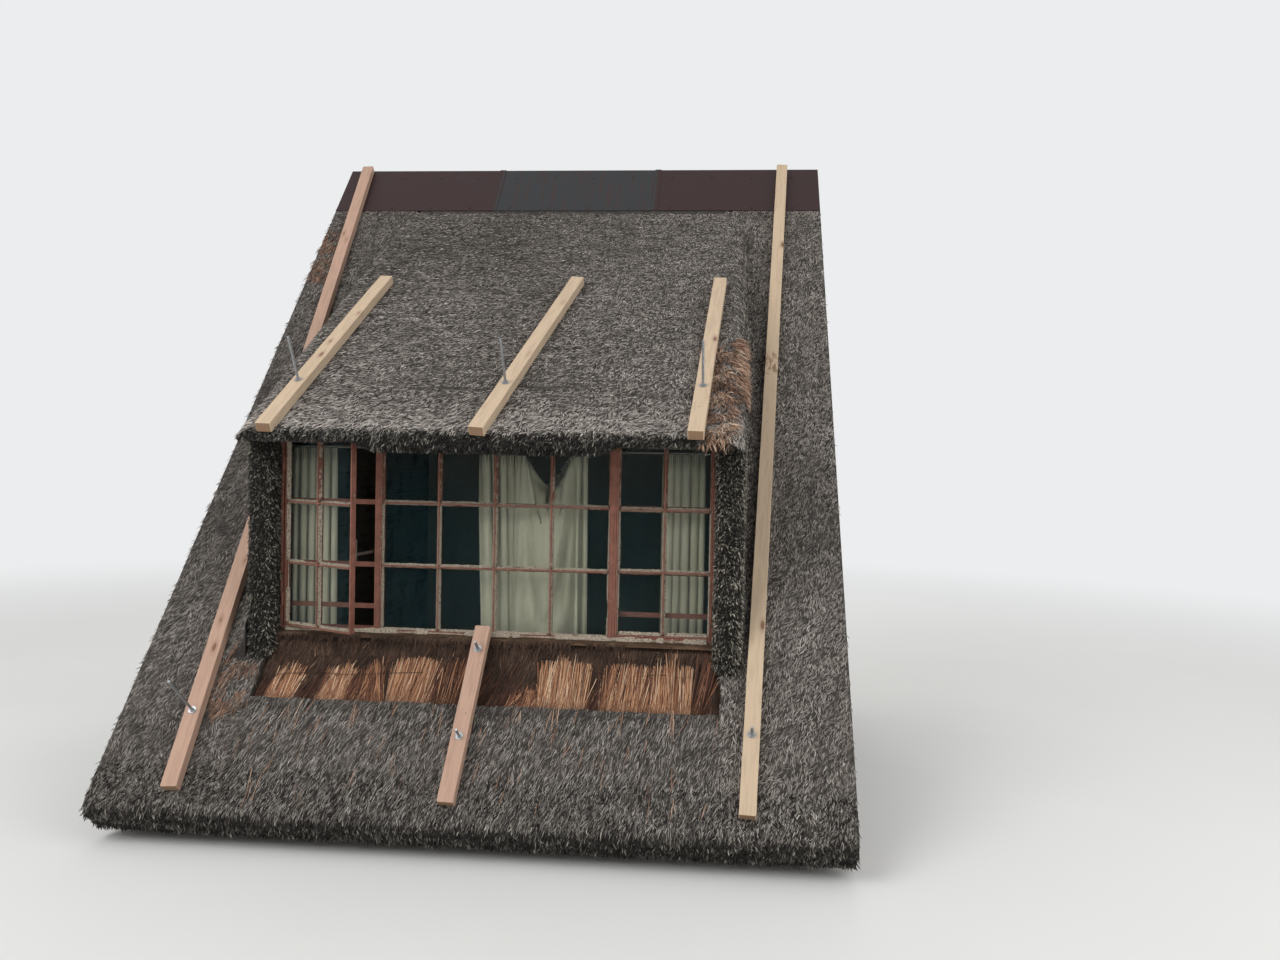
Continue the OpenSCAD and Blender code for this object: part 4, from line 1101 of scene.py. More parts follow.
def zinc_finish(colour):
    """Bright zinc with dull patches."""
    finish = Finish("zinc_plate", Specular_IOR_Level=0.5)
    place = finish.place()
    dull = finish.noise(place, 60.0, 5.0, 0.6).over(0.4, 0.65)
    mixed = finish.mix(dull, colour, tuple(c * 0.7 for c in colour))
    normal = finish.bump(dull, 0.0003, 0.5)
    return finish.shade(Base_Color=mixed, Roughness=0.32 + dull * 0.25, Metallic=0.85 - dull * 0.2, Normal=normal)


# Window

def paint_finish(name, paint, rust, putty, peeled):
    """Old red-brown paint on steel: chalky, peeling to putty grey, with rust at the edges of the chips."""
    finish = Finish(name, Specular_IOR_Level=0.35)
    place = finish.place()
    chalk = finish.noise(place, 26.0, 5.0, 0.6)
    chips = finish.noise(finish.stretch(place, (1.0, 1.0, 0.45)), 70.0, 6.0, 0.62)
    bare = chips.over(peeled, peeled + 0.035)
    edge = chips.over(peeled - 0.05, peeled) - bare
    low = 1 - finish.part(place, "Z").over(sill_z, sill_z + 0.3)
    colour = finish.mix(chalk.over(0.35, 0.7), paint, tuple(min(1.0, c * 1.35 + 0.01) for c in paint))
    colour = finish.mix(low * 0.25, colour, tuple(c * 0.6 for c in paint))
    colour = finish.mix(bare, colour, finish.mix(chalk, putty, rust))
    colour = finish.mix(edge * 0.8, colour, rust)
    normal = finish.bump(chalk * 0.3 - bare * 0.8, 0.0009, 0.9)
    return finish.shade(Base_Color=colour, Roughness=0.55 + chalk * 0.3, Normal=normal)


def glass_finish():
    """Old window glass: clear, with a dark teal colour that is painted reflection, and a film of dirt."""
    s = settings("window")
    finish = Finish("window_glass", Base_Color=tuple(s.glass), Roughness=0.04, IOR=1.5)
    place = finish.place()
    film = finish.noise(place, 7.0, 6.0, 0.65).over(0.4, 0.85)
    specks = finish.noise(place, 210.0, 2.0).over(0.68, 0.76)
    dirt = film * 0.06 + specks * 0.2
    # Painted reflection: the dark teal base colour stands in for a dark reflection in the panes
    finish.shade(Base_Color=finish.mix(dirt * 2.0, tuple(s.glass), srgb(120, 122, 112)), Roughness=0.04 + dirt * 0.6)
    slanting = finish.add("ShaderNodeLayerWeight", "Facing", None, {"Blend": 0.5})
    clear = finish.add("ShaderNodeBsdfTransparent", 0, None, {"Color": (0.925, 0.935, 0.92)})
    shader = Value(finish, finish.shader.outputs["BSDF"])
    factor = slanting ** 5 * 0.9 + dirt + 0.05
    finish.blend_shaders(factor, clear, shader)
    return finish.material


def finish_window():
    """Paint on the steel and the glass in it."""
    s = settings("window")
    paint, rust, putty = tuple(s.paint), tuple(s.rust), tuple(s.putty)
    wear(paint_finish("frame_paint_sound", paint, rust, putty, 0.66), "frame_left", "frame_right", "mullions",
        "casement_left", "guard_bars", "casement_hinges")
    wear(paint_finish("frame_paint_peeling", paint, rust, putty, 0.6), "frame_centre", "casement_right")
    wear(glass_finish(), "glass_left", "glass_centre", "glass_right")


def putty_finish():
    """Dry putty: cracked across, with paint left on it in places."""
    s = settings("window")
    finish = Finish("dry_putty", Specular_IOR_Level=0.2)
    place = finish.place()
    cracks = finish.cells(place, 55.0, "DISTANCE_TO_EDGE").over(0.0, 0.06)
    left = finish.part(finish.attribute("paint_left"), "X")
    painted = (finish.noise(place, 22.0, 6.0, 0.7) + left - 0.5).over(0.5, 0.6)
    dirt = finish.noise(place, 45.0, 5.0, 0.7)
    pale = finish.mix(dirt, srgb(140, 128, 112), tuple(s.putty))
    colour = finish.mix(painted * 0.9, pale, tuple(s.paint))
    colour = finish.mix(1 - cracks, colour, srgb(58, 46, 38))
    normal = finish.bump(cracks + dirt * 0.5, 0.001, 0.9)
    return finish.shade(Base_Color=colour, Roughness=0.85 + dirt * 0.1, Normal=normal)


def pane_axes(points):
    """A pane's lower left corner of its outer face, its axes along, up and outward, width and height."""
    low_z, high_z = points[:, 2].min(), points[:, 2].max()
    flat = points[:, :2]
    first = flat[np.argmin(flat[:, 0])]
    last = flat[np.argmax(flat[:, 0])]
    level = flat[np.argsort(flat[:, 0])]
    ends = level[:4], level[-4:]
    along = unit((ends[1].mean(0) - ends[0].mean(0))[None])[0]
    outward = np.array((along[1], -along[0]))
    reach = flat @ along
    depth = flat @ outward
    corner = along * reach.min() + outward * depth.max()
    origin = np.array((corner[0], corner[1], low_z))
    axes = np.array(((along[0], along[1], 0.0), (0.0, 0.0, 1.0), (outward[0], outward[1], 0.0)))
    return origin, axes, reach.max() - reach.min(), high_z - low_z


def putty_state(node, row, at_end, side):
    """The width of a line of putty, over the usual one, and how much paint is left on it.

    Side 0 is a pane's foot, then its right edge, top and left edge. The rows count up from the sill, and
    at_end is -1 for the first pane of a row, 1 for the last and 0 between.
    """
    if side == 0:
        wide, paint = 1.25, 0.1
    elif side == 2:
        wide, paint = 0.75, 0.5
    else:
        wide, paint = 1.0, 0.6 if row == 2 else 0.15
    if node == "glass_left":
        if side == 3 and at_end < 0:
            wide, paint = 1.7, 0.15
        elif side == 1 and at_end > 0:
            wide, paint = 0.4, 1.0
        elif row < 2:
            wide, paint = wide * 1.15, 0.1
    if node == "glass_right" and side == 0 and row == 0:
        wide, paint = 2.0, 0.1
    return wide, paint


def lay_putty():
    """A bevelled line of putty round every pane, with lumps and missing pieces."""
    s = settings("window")
    rng = np.random.default_rng(81)
    putty = Parts()
    paint_left = []
    step, stem = 0.012, 0.0185
    for node in ("glass_left", "glass_centre", "glass_right"):
        panes = islands(node)
        middles = np.array([p.mean(0) for p in panes])
        low_x, high_x = middles[:, 0].min(), middles[:, 0].max()
        for points, middle in zip(panes, middles):
            origin, axes, width, height = pane_axes(points)
            corners = ((0, 0), (width, 0), (width, height), (0, height))
            row = round((middle[2] - middles[:, 2].min()) / height)
            at_end = int(middle[0] > high_x - 0.05) - int(middle[0] < low_x + 0.05)
            for side in range(4):
                start = np.array(corners[side], float)
                end = np.array(corners[(side + 1) % 4], float)
                run = np.linalg.norm(end - start)
                ahead = (end - start) / run
                inward = np.array((-ahead[1], ahead[0]))
                count = max(3, int(run / step))
                wider, paint = putty_state(node, row, at_end, side)
                worn = rng.uniform(0.85, 1.1)
                gone = rng.random() < 0.2
                gap_at, gap_long = rng.uniform(0.1, 0.9) * run, rng.uniform(0.03, 0.16)
                rows = []
                for i in range(count + 1):
                    t = min(max(i / count * run, 0.0005), run - 0.0005)
                    wide = s.putty_width * wider * worn * rng.uniform(0.82, 1.15)
                    high = stem * worn * rng.uniform(0.8, 1.0)
                    if gone and abs(t - gap_at) < gap_long / 2:
                        wide, high = wide * 0.4, high * 0.2
                    mitre = min(t, run - t)
                    foot = start + ahead * t + inward * min(wide, mitre + 0.0045)
                    edge = start + ahead * t - inward * 0.0005
                    rows.append(((*edge, 0.0002), (*foot, 0.0002), (*(foot - inward * 0.002), 0.0022),
                        (*edge, min(high, stem * min(1.0, 0.15 + mitre / 0.012) + 0.002))))
                flat = [origin + axes.T @ np.array(p) for row_points in rows for p in row_points]
                faces = grid_faces(len(rows), 4, closed=True)
                faces += [(3, 2, 1, 0), tuple(len(flat) - 4 + i for i in range(4))]
                putty.add(flat, faces)
                paint_left += [(paint, 0.0, 0.0)] * len(flat)
    piece = mesh_object("putty_lines", putty.points, putty.faces, putty_finish())
    keep_vector(piece, "paint_left", paint_left)

    mortar = Parts()
    y0, z0 = window_low.y + 0.001, sill_z + 0.004
    xs = np.arange(-side_high.x + 0.03, side_high.x - 0.03, 0.012)
    rows = []
    lumps = cloud(np.stack([xs, xs * 0, xs * 0], 1), 0.05, 82)
    keep = cloud(np.stack([xs, xs * 0, xs * 0 + 3], 1), 0.22, 83) + 0.25 * cloud(
        np.stack([xs, xs * 0, xs * 0 + 9], 1), 0.03, 84) > 0.42
    for i, x in enumerate(xs):
        size = (0.006 + 0.008 * lumps[i]) * (1.0 if keep[i] else 0.12)
        rows.append([(x, y0, z0 + size), (x, y0 - size * 1.3, z0 - 0.002 - size * 0.2),
            (x, y0 - size * 1.5, z0 - 0.010), (x, y0, z0 - 0.012)])
    flat = [p for row in rows for p in row]
    mortar.add(flat, grid_faces(len(rows), 4, closed=True) + [(3, 2, 1, 0), tuple(len(flat) - 4 + i for i in range(4))])
    under = mesh_object("putty_sill", mortar.points, mortar.faces, piece.data.materials[0])
    keep_vector(under, "paint_left", [(0.1, 0.0, 0.0)] * len(mortar.points))


# Curtains

# Width of a curtain's squares on the flat cloth
CLOTH_STEP = 0.009


def curtain_finish():
    """Cream cloth with a woven bump, faint vertical shading and water stains, with painted shade in its gathers and
    hollows and painted light on the fronts of its folds.
    """
    s = settings("window")
    finish = Finish("cream_cloth", Specular_IOR_Level=0.2, Sheen_Weight=0.15, Sheen_Roughness=0.5)
    place = finish.attribute("cloth")
    weft = finish.add("ShaderNodeTexWave", "Fac", {"bands_direction": "Y"},
        {"Vector": place, "Scale": 260.0, "Distortion": 0.6, "Detail": 1.0})
    warp = finish.add("ShaderNodeTexWave", "Fac", {"bands_direction": "X"},
        {"Vector": place, "Scale": 260.0, "Distortion": 0.6, "Detail": 1.0})
    stain = finish.noise(finish.stretch(place, (5.0, 2.0, 5.0)), 1.0, 5.0, 0.6).over(0.5, 0.75)
    slub = finish.noise(finish.stretch(place, (90.0, 8.0, 90.0)), 1.0, 3.0)
    colour = finish.mix(stain * 0.4, tuple(s.curtain), srgb(158, 148, 120))
    colour = finish.tint(colour, 0.9 + slub * 0.2)
    gathers = finish.add("ShaderNodeTexWave", "Fac", {"bands_direction": "X"},
        {"Vector": place, "Scale": 22.0, "Distortion": 2.0, "Detail": 2.0})
    # Painted shade: the gathers at the header are darker in their folds
    header = finish.part(place, "Y").over(-0.09, -0.03)
    hollow = finish.part(finish.attribute("hollow"), "X").over(0.15, 0.95)
    # Painted light and shade: folds lighter in front and darker in their hollows
    colour = finish.tint(colour, (1 - gathers * header * 0.45) * (1.12 - hollow * 0.6))
    normal = finish.bump(weft + warp + slub, 0.0005, 0.5, finish.bump(gathers * header, 0.006, 1.0))
    return finish.shade(Base_Color=colour, Roughness=0.86 + stain * 0.08, Normal=normal)


def cloth_sheet(name, node, flat_width, top, shape, finish, thick=0.0011):
    """A curtain as a thin sheet. shape(a, b) gives the point at a across and b down, both from 0 to 1."""
    low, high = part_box(node)
    across, down = int(flat_width / CLOTH_STEP), 64
    points, cloth = [], []
    for j in range(down + 1):
        for i in range(across + 1):
            a, b = i / across, j / down
            points.append(shape(a, b))
            cloth.append((a * flat_width, -b * (top - low.z), 0.0))
    piece = mesh_object(name, points, grid_faces(down + 1, across + 1), finish, smooth=True)
    keep_vector(piece, "cloth", cloth)
    return piece


def pleated(node, seed, drift, tight=0.55, slant=0.0):
    """The shape of a gathered curtain in the box of its node: uneven pleats that loosen downwards.

    tight is the depth of the folds at the top over that lower down, and slant moves the left edge's foot inwards.
    """
    s = settings("window")
    low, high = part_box(node)
    middle_y = (low.y + high.y) / 2
    rng = np.random.default_rng(seed)
    pleats = max(4, int(round((high.x - low.x) / 0.042)))
    widths = rng.uniform(0.6, 1.4, pleats)
    edges = np.concatenate([[0], np.cumsum(widths)]) / widths.sum()
    depths = rng.uniform(0.6, 1.15, pleats + 1)
    wander = rng.uniform(-1, 1, pleats + 1) * 0.12 / pleats

    def shape(a, b):
        k = min(int(np.searchsorted(edges, a, side="right")) - 1, pleats - 1)
        local = (a - edges[k]) / (edges[k + 1] - edges[k])
        swing = math.sin(2 * math.pi * local)
        depth = s.fold_depth * (depths[k] * (1 - local) + depths[k + 1] * local)
        loosen = tight + (1 - tight) * min(1.0, b * 3.0)
        settle = 1.0 + 0.25 * math.sin(3.0 * b + depths[k] * 6)
        x = low.x + (high.x - low.x) * (a + wander[k] * b) + slant * b * max(0.0, 1 - a / 0.5)
        x += 0.006 * math.cos(2 * math.pi * local) * loosen + drift * b * (a - 0.5)
        y = middle_y + depth * 0.5 * swing * loosen * settle
        return (x, y, high.z - (high.z - low.z) * b)

    return shape


def settle_cloth(piece, pinned, frames, low_y, high_y):
    """Lets a sheet hang from its pinned points, and keeps the shape that it takes."""
    hooks = piece.vertex_groups.new(name="hooks")
    hooks.add(pinned, 1.0, "REPLACE")
    cloth = piece.modifiers.new("Hang", "CLOTH")
    cloth.settings.vertex_group_mass = "hooks"
    cloth.settings.quality = 7
    cloth.settings.mass = 0.12
    cloth.settings.tension_stiffness = 30
    cloth.settings.compression_stiffness = 30
    cloth.settings.shear_stiffness = 8
    cloth.settings.bending_stiffness = 0.15
    cloth.settings.air_damping = 3
    cloth.point_cache.frame_start = 1
    cloth.point_cache.frame_end = frames
    scene = bpy.context.scene
    scene.frame_end = frames
    for number in range(1, frames + 1):
        scene.frame_set(number)
    graph = bpy.context.evaluated_depsgraph_get()
    settled = piece.evaluated_get(graph).data
    at = np.empty(len(settled.vertices) * 3, np.float32)
    settled.vertices.foreach_get("co", at)
    at = at.reshape(-1, 3)
    at[:, 1] = at[:, 1].clip(low_y, high_y)
    piece.modifiers.remove(cloth)
    scene.frame_set(1)
    piece.data.vertices.foreach_set("co", at.ravel())
    piece.data.update()


def declare_curtain(piece, node):
    """Stores how deep each point of a curtain lies, for painted shade in its hollows, and hides the curtain's node."""
    y = np.array([v.co.y for v in piece.data.vertices])
    low, high = np.percentile(y, (2, 98))
    keep_vector(piece, "hollow", [((at - low) / (high - low), 0.0, 0.0) for at in y])
    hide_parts(node)


# X where the middle curtain has come off its hooks, from the last hook on the left to the next one
SLACK_FROM, SLACK_TO = 0.13, 0.376


def hang_curtains():
    """Three curtains. The middle one has come off some hooks and sags there."""
    s = settings("window")
    finish = curtain_finish()
    rail_low, rail_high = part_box("curtain_rail")
    low_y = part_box("curtain_centre")[0].y - 0.02
    back_y = low_y + 0.11
    for name, node, seed in (("curtain_cloth_left", "curtain_left", 91), ("curtain_cloth_right", "curtain_right", 92)):
        low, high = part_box(node)
        flat = (high.x - low.x) * s.fullness
        piece = cloth_sheet(name, node, flat, high.z, pleated(node, seed, 0.01), finish)
        settle_cloth(piece, list(range(int(flat / CLOTH_STEP) + 1)), 30, low_y, back_y)
        declare_curtain(piece, node)

    low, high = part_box("curtain_centre")
    base = pleated("curtain_centre", 93, -0.03, tight=1.35, slant=0.06)
    flat = (high.x - low.x) * s.fullness
    deepest = (SLACK_FROM * 0.45 + SLACK_TO * 0.55)

    def shape(a, b):
        x, y, z = base(a, b)
        near = 0.0
        if SLACK_FROM < x < deepest:
            near = (x - SLACK_FROM) / (deepest - SLACK_FROM)
        elif deepest <= x < SLACK_TO:
            near = (SLACK_TO - x) / (SLACK_TO - deepest)
        drop = 0.0
        return (x, y, z - drop)

    piece = cloth_sheet("curtain_cloth_centre", "curtain_centre", flat, high.z, shape, finish)
    top_row = [piece.data.vertices[i].co.x for i in range(int(flat / CLOTH_STEP) + 1)]
    settle_cloth(piece, [i for i, x in enumerate(top_row) if not SLACK_FROM < x < SLACK_TO], 60, low_y, back_y)
    declare_curtain(piece, "curtain_centre")

    rings = Parts()
    centre_y, centre_z = (rail_low.y + rail_high.y) / 2, (rail_low.z + rail_high.z) / 2
    radius = (rail_high.z - rail_low.z) / 2 + 0.0035
    for node in ("curtain_left", "curtain_centre", "curtain_right"):
        low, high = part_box(node)
        for x in np.arange(low.x + 0.012, high.x, 0.052):
            if node == "curtain_centre" and SLACK_FROM + 0.02 < x < SLACK_TO - 0.02:
                continue
            turn = [(x, centre_y + radius * math.cos(a), centre_z + radius * math.sin(a))
                for a in np.linspace(-math.pi / 2, 3 * math.pi / 2, 15)]
            rings.tube(turn + [(x, centre_y, centre_z - radius - 0.008), (x, centre_y - 0.003, centre_z - radius - 0.013)],
                0.0013)
    mesh_object("curtain_rings", rings.points, rings.faces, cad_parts["curtain_rail"].data.materials[0],
        smooth=True)


# Battens

# Heights between which the right long batten is stained
STAIN_LOW, STAIN_HIGH = 2.33, 2.46


def pine_finish(name, pine):
    """New sawn pine: grain along the batten, knots with dark rims, a stain, and saw marks across."""
    s = settings("batten")
    finish = Finish(name, Specular_IOR_Level=0.3)
    grain_place = finish.attribute("grain")
    warped = finish.stretch(grain_place, (1.0, 0.09, 1.0))
    rings = finish.noise(warped, 52.0, 3.0, 0.5, 0.8)
    fine = finish.noise(finish.stretch(grain_place, (260.0, 7.0, 260.0)), 1.0, 3.0)
    knot_place = finish.stretch(grain_place, (9.0, 3.4, 9.0))
    near = finish.cells(knot_place, 1.0)
    number = finish.cells(knot_place, 1.0, "F1", "Color")
    some = finish.part(number, "X").over(0.52, 0.54)
    knot = (1 - near.over(0.07, 0.12)) * some
    rim = (1 - near.over(0.12, 0.22)) * some
    stripes = rings.over(0.42, 0.62)
    colour = finish.mix(stripes * 0.3, tuple(pine), lighter(pine, 0.62))
    colour = finish.mix(fine.over(0.4, 0.8) * 0.25, colour, lighter(pine, 1.25))
    colour = finish.mix(rim * 0.5, colour, between(s.pine_dark, pine))
    colour = finish.mix(knot * 0.85, colour, tuple(s.pine_dark))
    x, z = finish.part(finish.place(), "X"), finish.part(finish.place(), "Z")
    soiled = x.over(1.2, 1.22) * z.over(STAIN_LOW, STAIN_LOW + 0.03) * (1 - z.over(STAIN_HIGH, STAIN_HIGH + 0.04))
    blots = finish.noise(finish.stretch(grain_place, (60.0, 16.0, 60.0)), 1.0, 4.0).over(0.45, 0.58)
    colour = finish.mix(soiled * blots * 0.7, colour, tuple(s.pine_dark))
    saw = finish.add("ShaderNodeTexWave", "Fac", {"bands_direction": "Y"},
        {"Vector": grain_place, "Scale": 90.0, "Distortion": 1.2, "Detail": 2.0})
    normal = finish.bump(fine * 0.6 + saw * 0.25 - knot * 0.4, 0.0008, 0.8)
    return finish.shade(Base_Color=colour, Roughness=0.68 + fine * 0.15, Normal=normal)


def end_finish():
    """The sawn end grain of a batten, with its growth rings."""
    s = settings("batten")
    finish = Finish("pine_end_grain", Specular_IOR_Level=0.2)
    place = finish.attribute("grain")
    rings = finish.add("ShaderNodeTexWave", "Fac", {"wave_type": "RINGS", "rings_direction": "Y"},
        {"Vector": finish.shift(place, (0.03, 0.0, 0.05)), "Scale": 60.0, "Distortion": 1.5, "Detail": 3.0})
    rough = finish.noise(place, 260.0, 4.0)
    colour = finish.mix(rings * 0.45 + rough * 0.25, tuple(s.end_grain), lighter(s.end_grain, 0.5))
    return finish.shade(Base_Color=colour, Roughness=0.8 + rough * 0.15, Normal=finish.bump(rough + rings * 0.3, 0.0006))


def batten_axes(points, plane):
    """Foot and top of a batten's middle line in the plane's axes, its width, and its lowest n and highest n."""
    x, u, n = plane.read(points)
    corners = [(x[i], u[i]) for i in (np.argmin(u), np.argmax(u), np.argmin(x), np.argmax(x))]
    corners.sort(key=lambda c: c[1])
    foot, top = np.mean(corners[:2], axis=0), np.mean(corners[2:], axis=0)
    width = math.dist(corners[0], corners[1])
    return foot, top, width, n.min(), n.max()


def sawn_batten(name, points, plane, finish, ends, seed):
    """A batten with rounded, slightly uneven edges, in the place of a CAD solid."""
    s = settings("batten")
    foot, top, width, low, high = batten_axes(points, plane)
    length = math.dist(foot, top)
    turn = math.atan2(foot[0] - top[0], top[1] - foot[1])
    matrix = plane.matrix(foot[0], foot[1], (low + high) / 2, turn)
    half_w, half_h, r = width / 2, (high - low) / 2, s.bevel
    outline = []
    for cx, cz, start in ((half_w - r, half_h - r, 0), (-half_w + r, half_h - r, 90),
            (-half_w + r, -half_h + r, 180), (half_w - r, -half_h + r, 270)):
        for step in range(3):
            a = math.radians(start + step * 45)
            outline.append((cx + r * math.cos(a), cz + r * math.sin(a)))
    rng = np.random.default_rng(seed)
    stations = [0.0, r * 0.5, r * 1.5] + list(np.linspace(0.03, length - 0.03, max(4, int(length / 0.07))))
    stations += [length - r * 1.5, length - r * 0.5, length]
    points_out, grain = [], []
    shift = rng.uniform(-5, 5, 3)
    for y in stations:
        end = min(y, length - y)
        shrink = 1 - (0.0022 / half_h) * max(0.0, 1 - end / (r * 1.5)) ** 2
        waver = rng.normal(0, 0.0003, 2)
        for x, z in outline:
            local = Vector(((x + waver[0]) * shrink, y, (z - abs(waver[1])) * shrink))
            points_out.append(matrix @ local)
            grain.append((local.x + shift[0], local.y + shift[1], local.z + shift[2]))
    count = len(outline)
    faces = grid_faces(len(stations), count, closed=True)
    faces.append(tuple(range(count)))
    faces.append(tuple(reversed(range(len(points_out) - count, len(points_out)))))
    piece = mesh_object(name, points_out, [tuple(reversed(f)) for f in faces], finish)
    piece.data.materials.append(ends)
    for face in piece.data.polygons:
        face.material_index = int(len(face.vertices) > 4)
    keep_vector(piece, "grain", grain)
    return piece, matrix, length, half_w, half_h


def lay_battens():
    """The six repair battens, and the nails in them."""
    s = settings("batten")
    pale, pink = pine_finish("new_sawn_pine", s.pine), pine_finish("pink_sawn_pine", s.pink_pine)
    finishes = {"batten_slope_left": pink, "batten_apron": pink}
    ends = end_finish()
    nails = Parts()
    rng = np.random.default_rng(101)
    names = {
        "dormer_battens": ["batten_dormer_left", "batten_dormer_middle", "batten_dormer_right"],
        "slope_battens": ["batten_slope_left", "batten_apron", "batten_slope_right"],
    }
    planes = {"dormer_battens": [dormer] * 3, "slope_battens": [slope, apron_batten, slope]}
    for node in names:
        solids = sorted(islands(node), key=lambda p: p[:, 0].mean())
        pieces = []
        for index, (solid, name, plane) in enumerate(zip(solids, names[node], planes[node])):
            finish = finishes.get(name, pale)
            piece, matrix, length, half_w, half_h = sawn_batten(name, solid, plane, finish, ends, 110 + index)
            pieces.append(piece)
            for _ in range(3):
                at = Vector((rng.uniform(-0.7, 0.7) * half_w, rng.uniform(0.1, 0.9) * length, half_h - 0.0006))
                nails.lathe(matrix @ Matrix.Translation(at), ((0.0028, 0.0), (0.0028, 0.0009), (0.0019, 0.0013)), 10)
        for piece in pieces:
            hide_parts(node)
    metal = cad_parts["casement_fittings"].data.materials[0]
    mesh_object("batten_nails", nails.points, nails.faces, metal)


def thread_rods():
    """The thread that shows on each rod above its nut."""
    s = settings("batten")
    threads = Parts()
    for solid in islands("batten_rods"):
        middle = solid.mean(axis=0)
        plane = min((slope, dormer, apron_batten), key=lambda p: np.ptp(p.read(solid)[1]))
        x, u, n = plane.read(solid)
        top = n.max()
        crown = n > top - 1e-4
        centre = plane.matrix((x[crown].min() + x[crown].max()) / 2, (u[crown].min() + u[crown].max()) / 2, 0.0)
        radius = np.ptp(x[crown]) / 2
        wide = np.hypot(x - x[crown].mean(), u - u[crown].mean()) > radius * 1.2
        start = n[wide].max() + 0.0005
        turns = (top - start) / s.thread_pitch
        sides = 10
        steps = int(turns * sides)
        points = []
        for i in range(steps + 1):
            a = 2 * math.pi * i / sides
            h = start + s.thread_pitch * i / sides
            for r, dz in ((radius - 0.0003, -0.0009), (radius + 0.0007, 0.0), (radius - 0.0003, 0.0009)):
                height = min(max(h + dz, start), top)
                points.append(centre @ Vector((r * math.cos(a), r * math.sin(a), height)))
        threads.add(points, grid_faces(steps + 1, 3))
    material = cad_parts["batten_rods"].data.materials[0]
    mesh_object("rod_threads", threads.points, threads.faces, material, smooth=True)


def nail_capping():
    """Roofing nails and a folded drip edge along the capping."""
    nails = Parts()
    x, u, n = slope.read([v.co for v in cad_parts["ridge_cap"].data.vertices])
    top_n = np.median(n[n > 0])
    low_u = u[n > -0.01].min()
    for x_at in np.arange(cap_low.x + 0.12, cap_high.x, 0.29):
        for u_at in (low_u + 0.035, low_u + 0.40):
            matrix = slope.matrix(x_at, u_at, top_n - 0.0005)
            nails.lathe(matrix, ((0.011, 0.0), (0.011, 0.0015), (0.006, 0.002), (0.0055, 0.004), (0.003, 0.006)), 12)
    path = [slope.place(x_at, low_u + 0.002, 0.004) for x_at in np.linspace(cap_low.x, cap_high.x, 40)]
    nails.tube(path, 0.0045, 8)
    mesh_object("capping_nails", nails.points, nails.faces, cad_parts["ridge_cap"].data.materials[0],
        smooth=True)


# Where the old binding wire shows across the bare strip: X and distance up the slope along it
WIRES = (((-1.12, -0.222), (-0.75, -0.206), (-0.32, -0.194)), ((0.5, -0.144), (0.8, -0.156), (1.06, -0.15), (1.12, -0.13)))


def bind_reed():
    """The old binding wire that shows across the bare strip."""
    finish = Finish("rusty_wire", Specular_IOR_Level=0.3)
    spots = finish.noise(finish.place(), 120.0, 3.0)
    finish.shade(Base_Color=finish.mix(spots, srgb(38, 30, 26), srgb(84, 62, 48)), Roughness=0.6 + spots * 0.3)
    wires = Parts()
    profile = base_height()
    for wire in WIRES:
        at_x, at_u = np.array(wire).T
        xs = np.linspace(at_x[0], at_x[-1], 60)
        lumps = cloud(np.stack([xs, xs * 0, xs * 0], 1), 0.12, 120) - 0.5
        us = np.interp(xs, at_x, at_u) + 0.016 * lumps
        heights = np.interp(us, *profile) + 0.012 + 0.008 * lumps
        wires.tube([slope.place(*p) for p in zip(xs, us, heights)], 0.0015, 5)
    mesh_object("binding_wire", wires.points, wires.faces, finish.material, smooth=True)


# Stage

CAMERA_PLACE = (1.163, -6.053, 1.858)
CAMERA_TURN, CAMERA_TILT, CAMERA_ROLL = math.radians(5.0), math.radians(90 - 1.55), math.radians(1.15)
CAMERA_LENS = 28.97


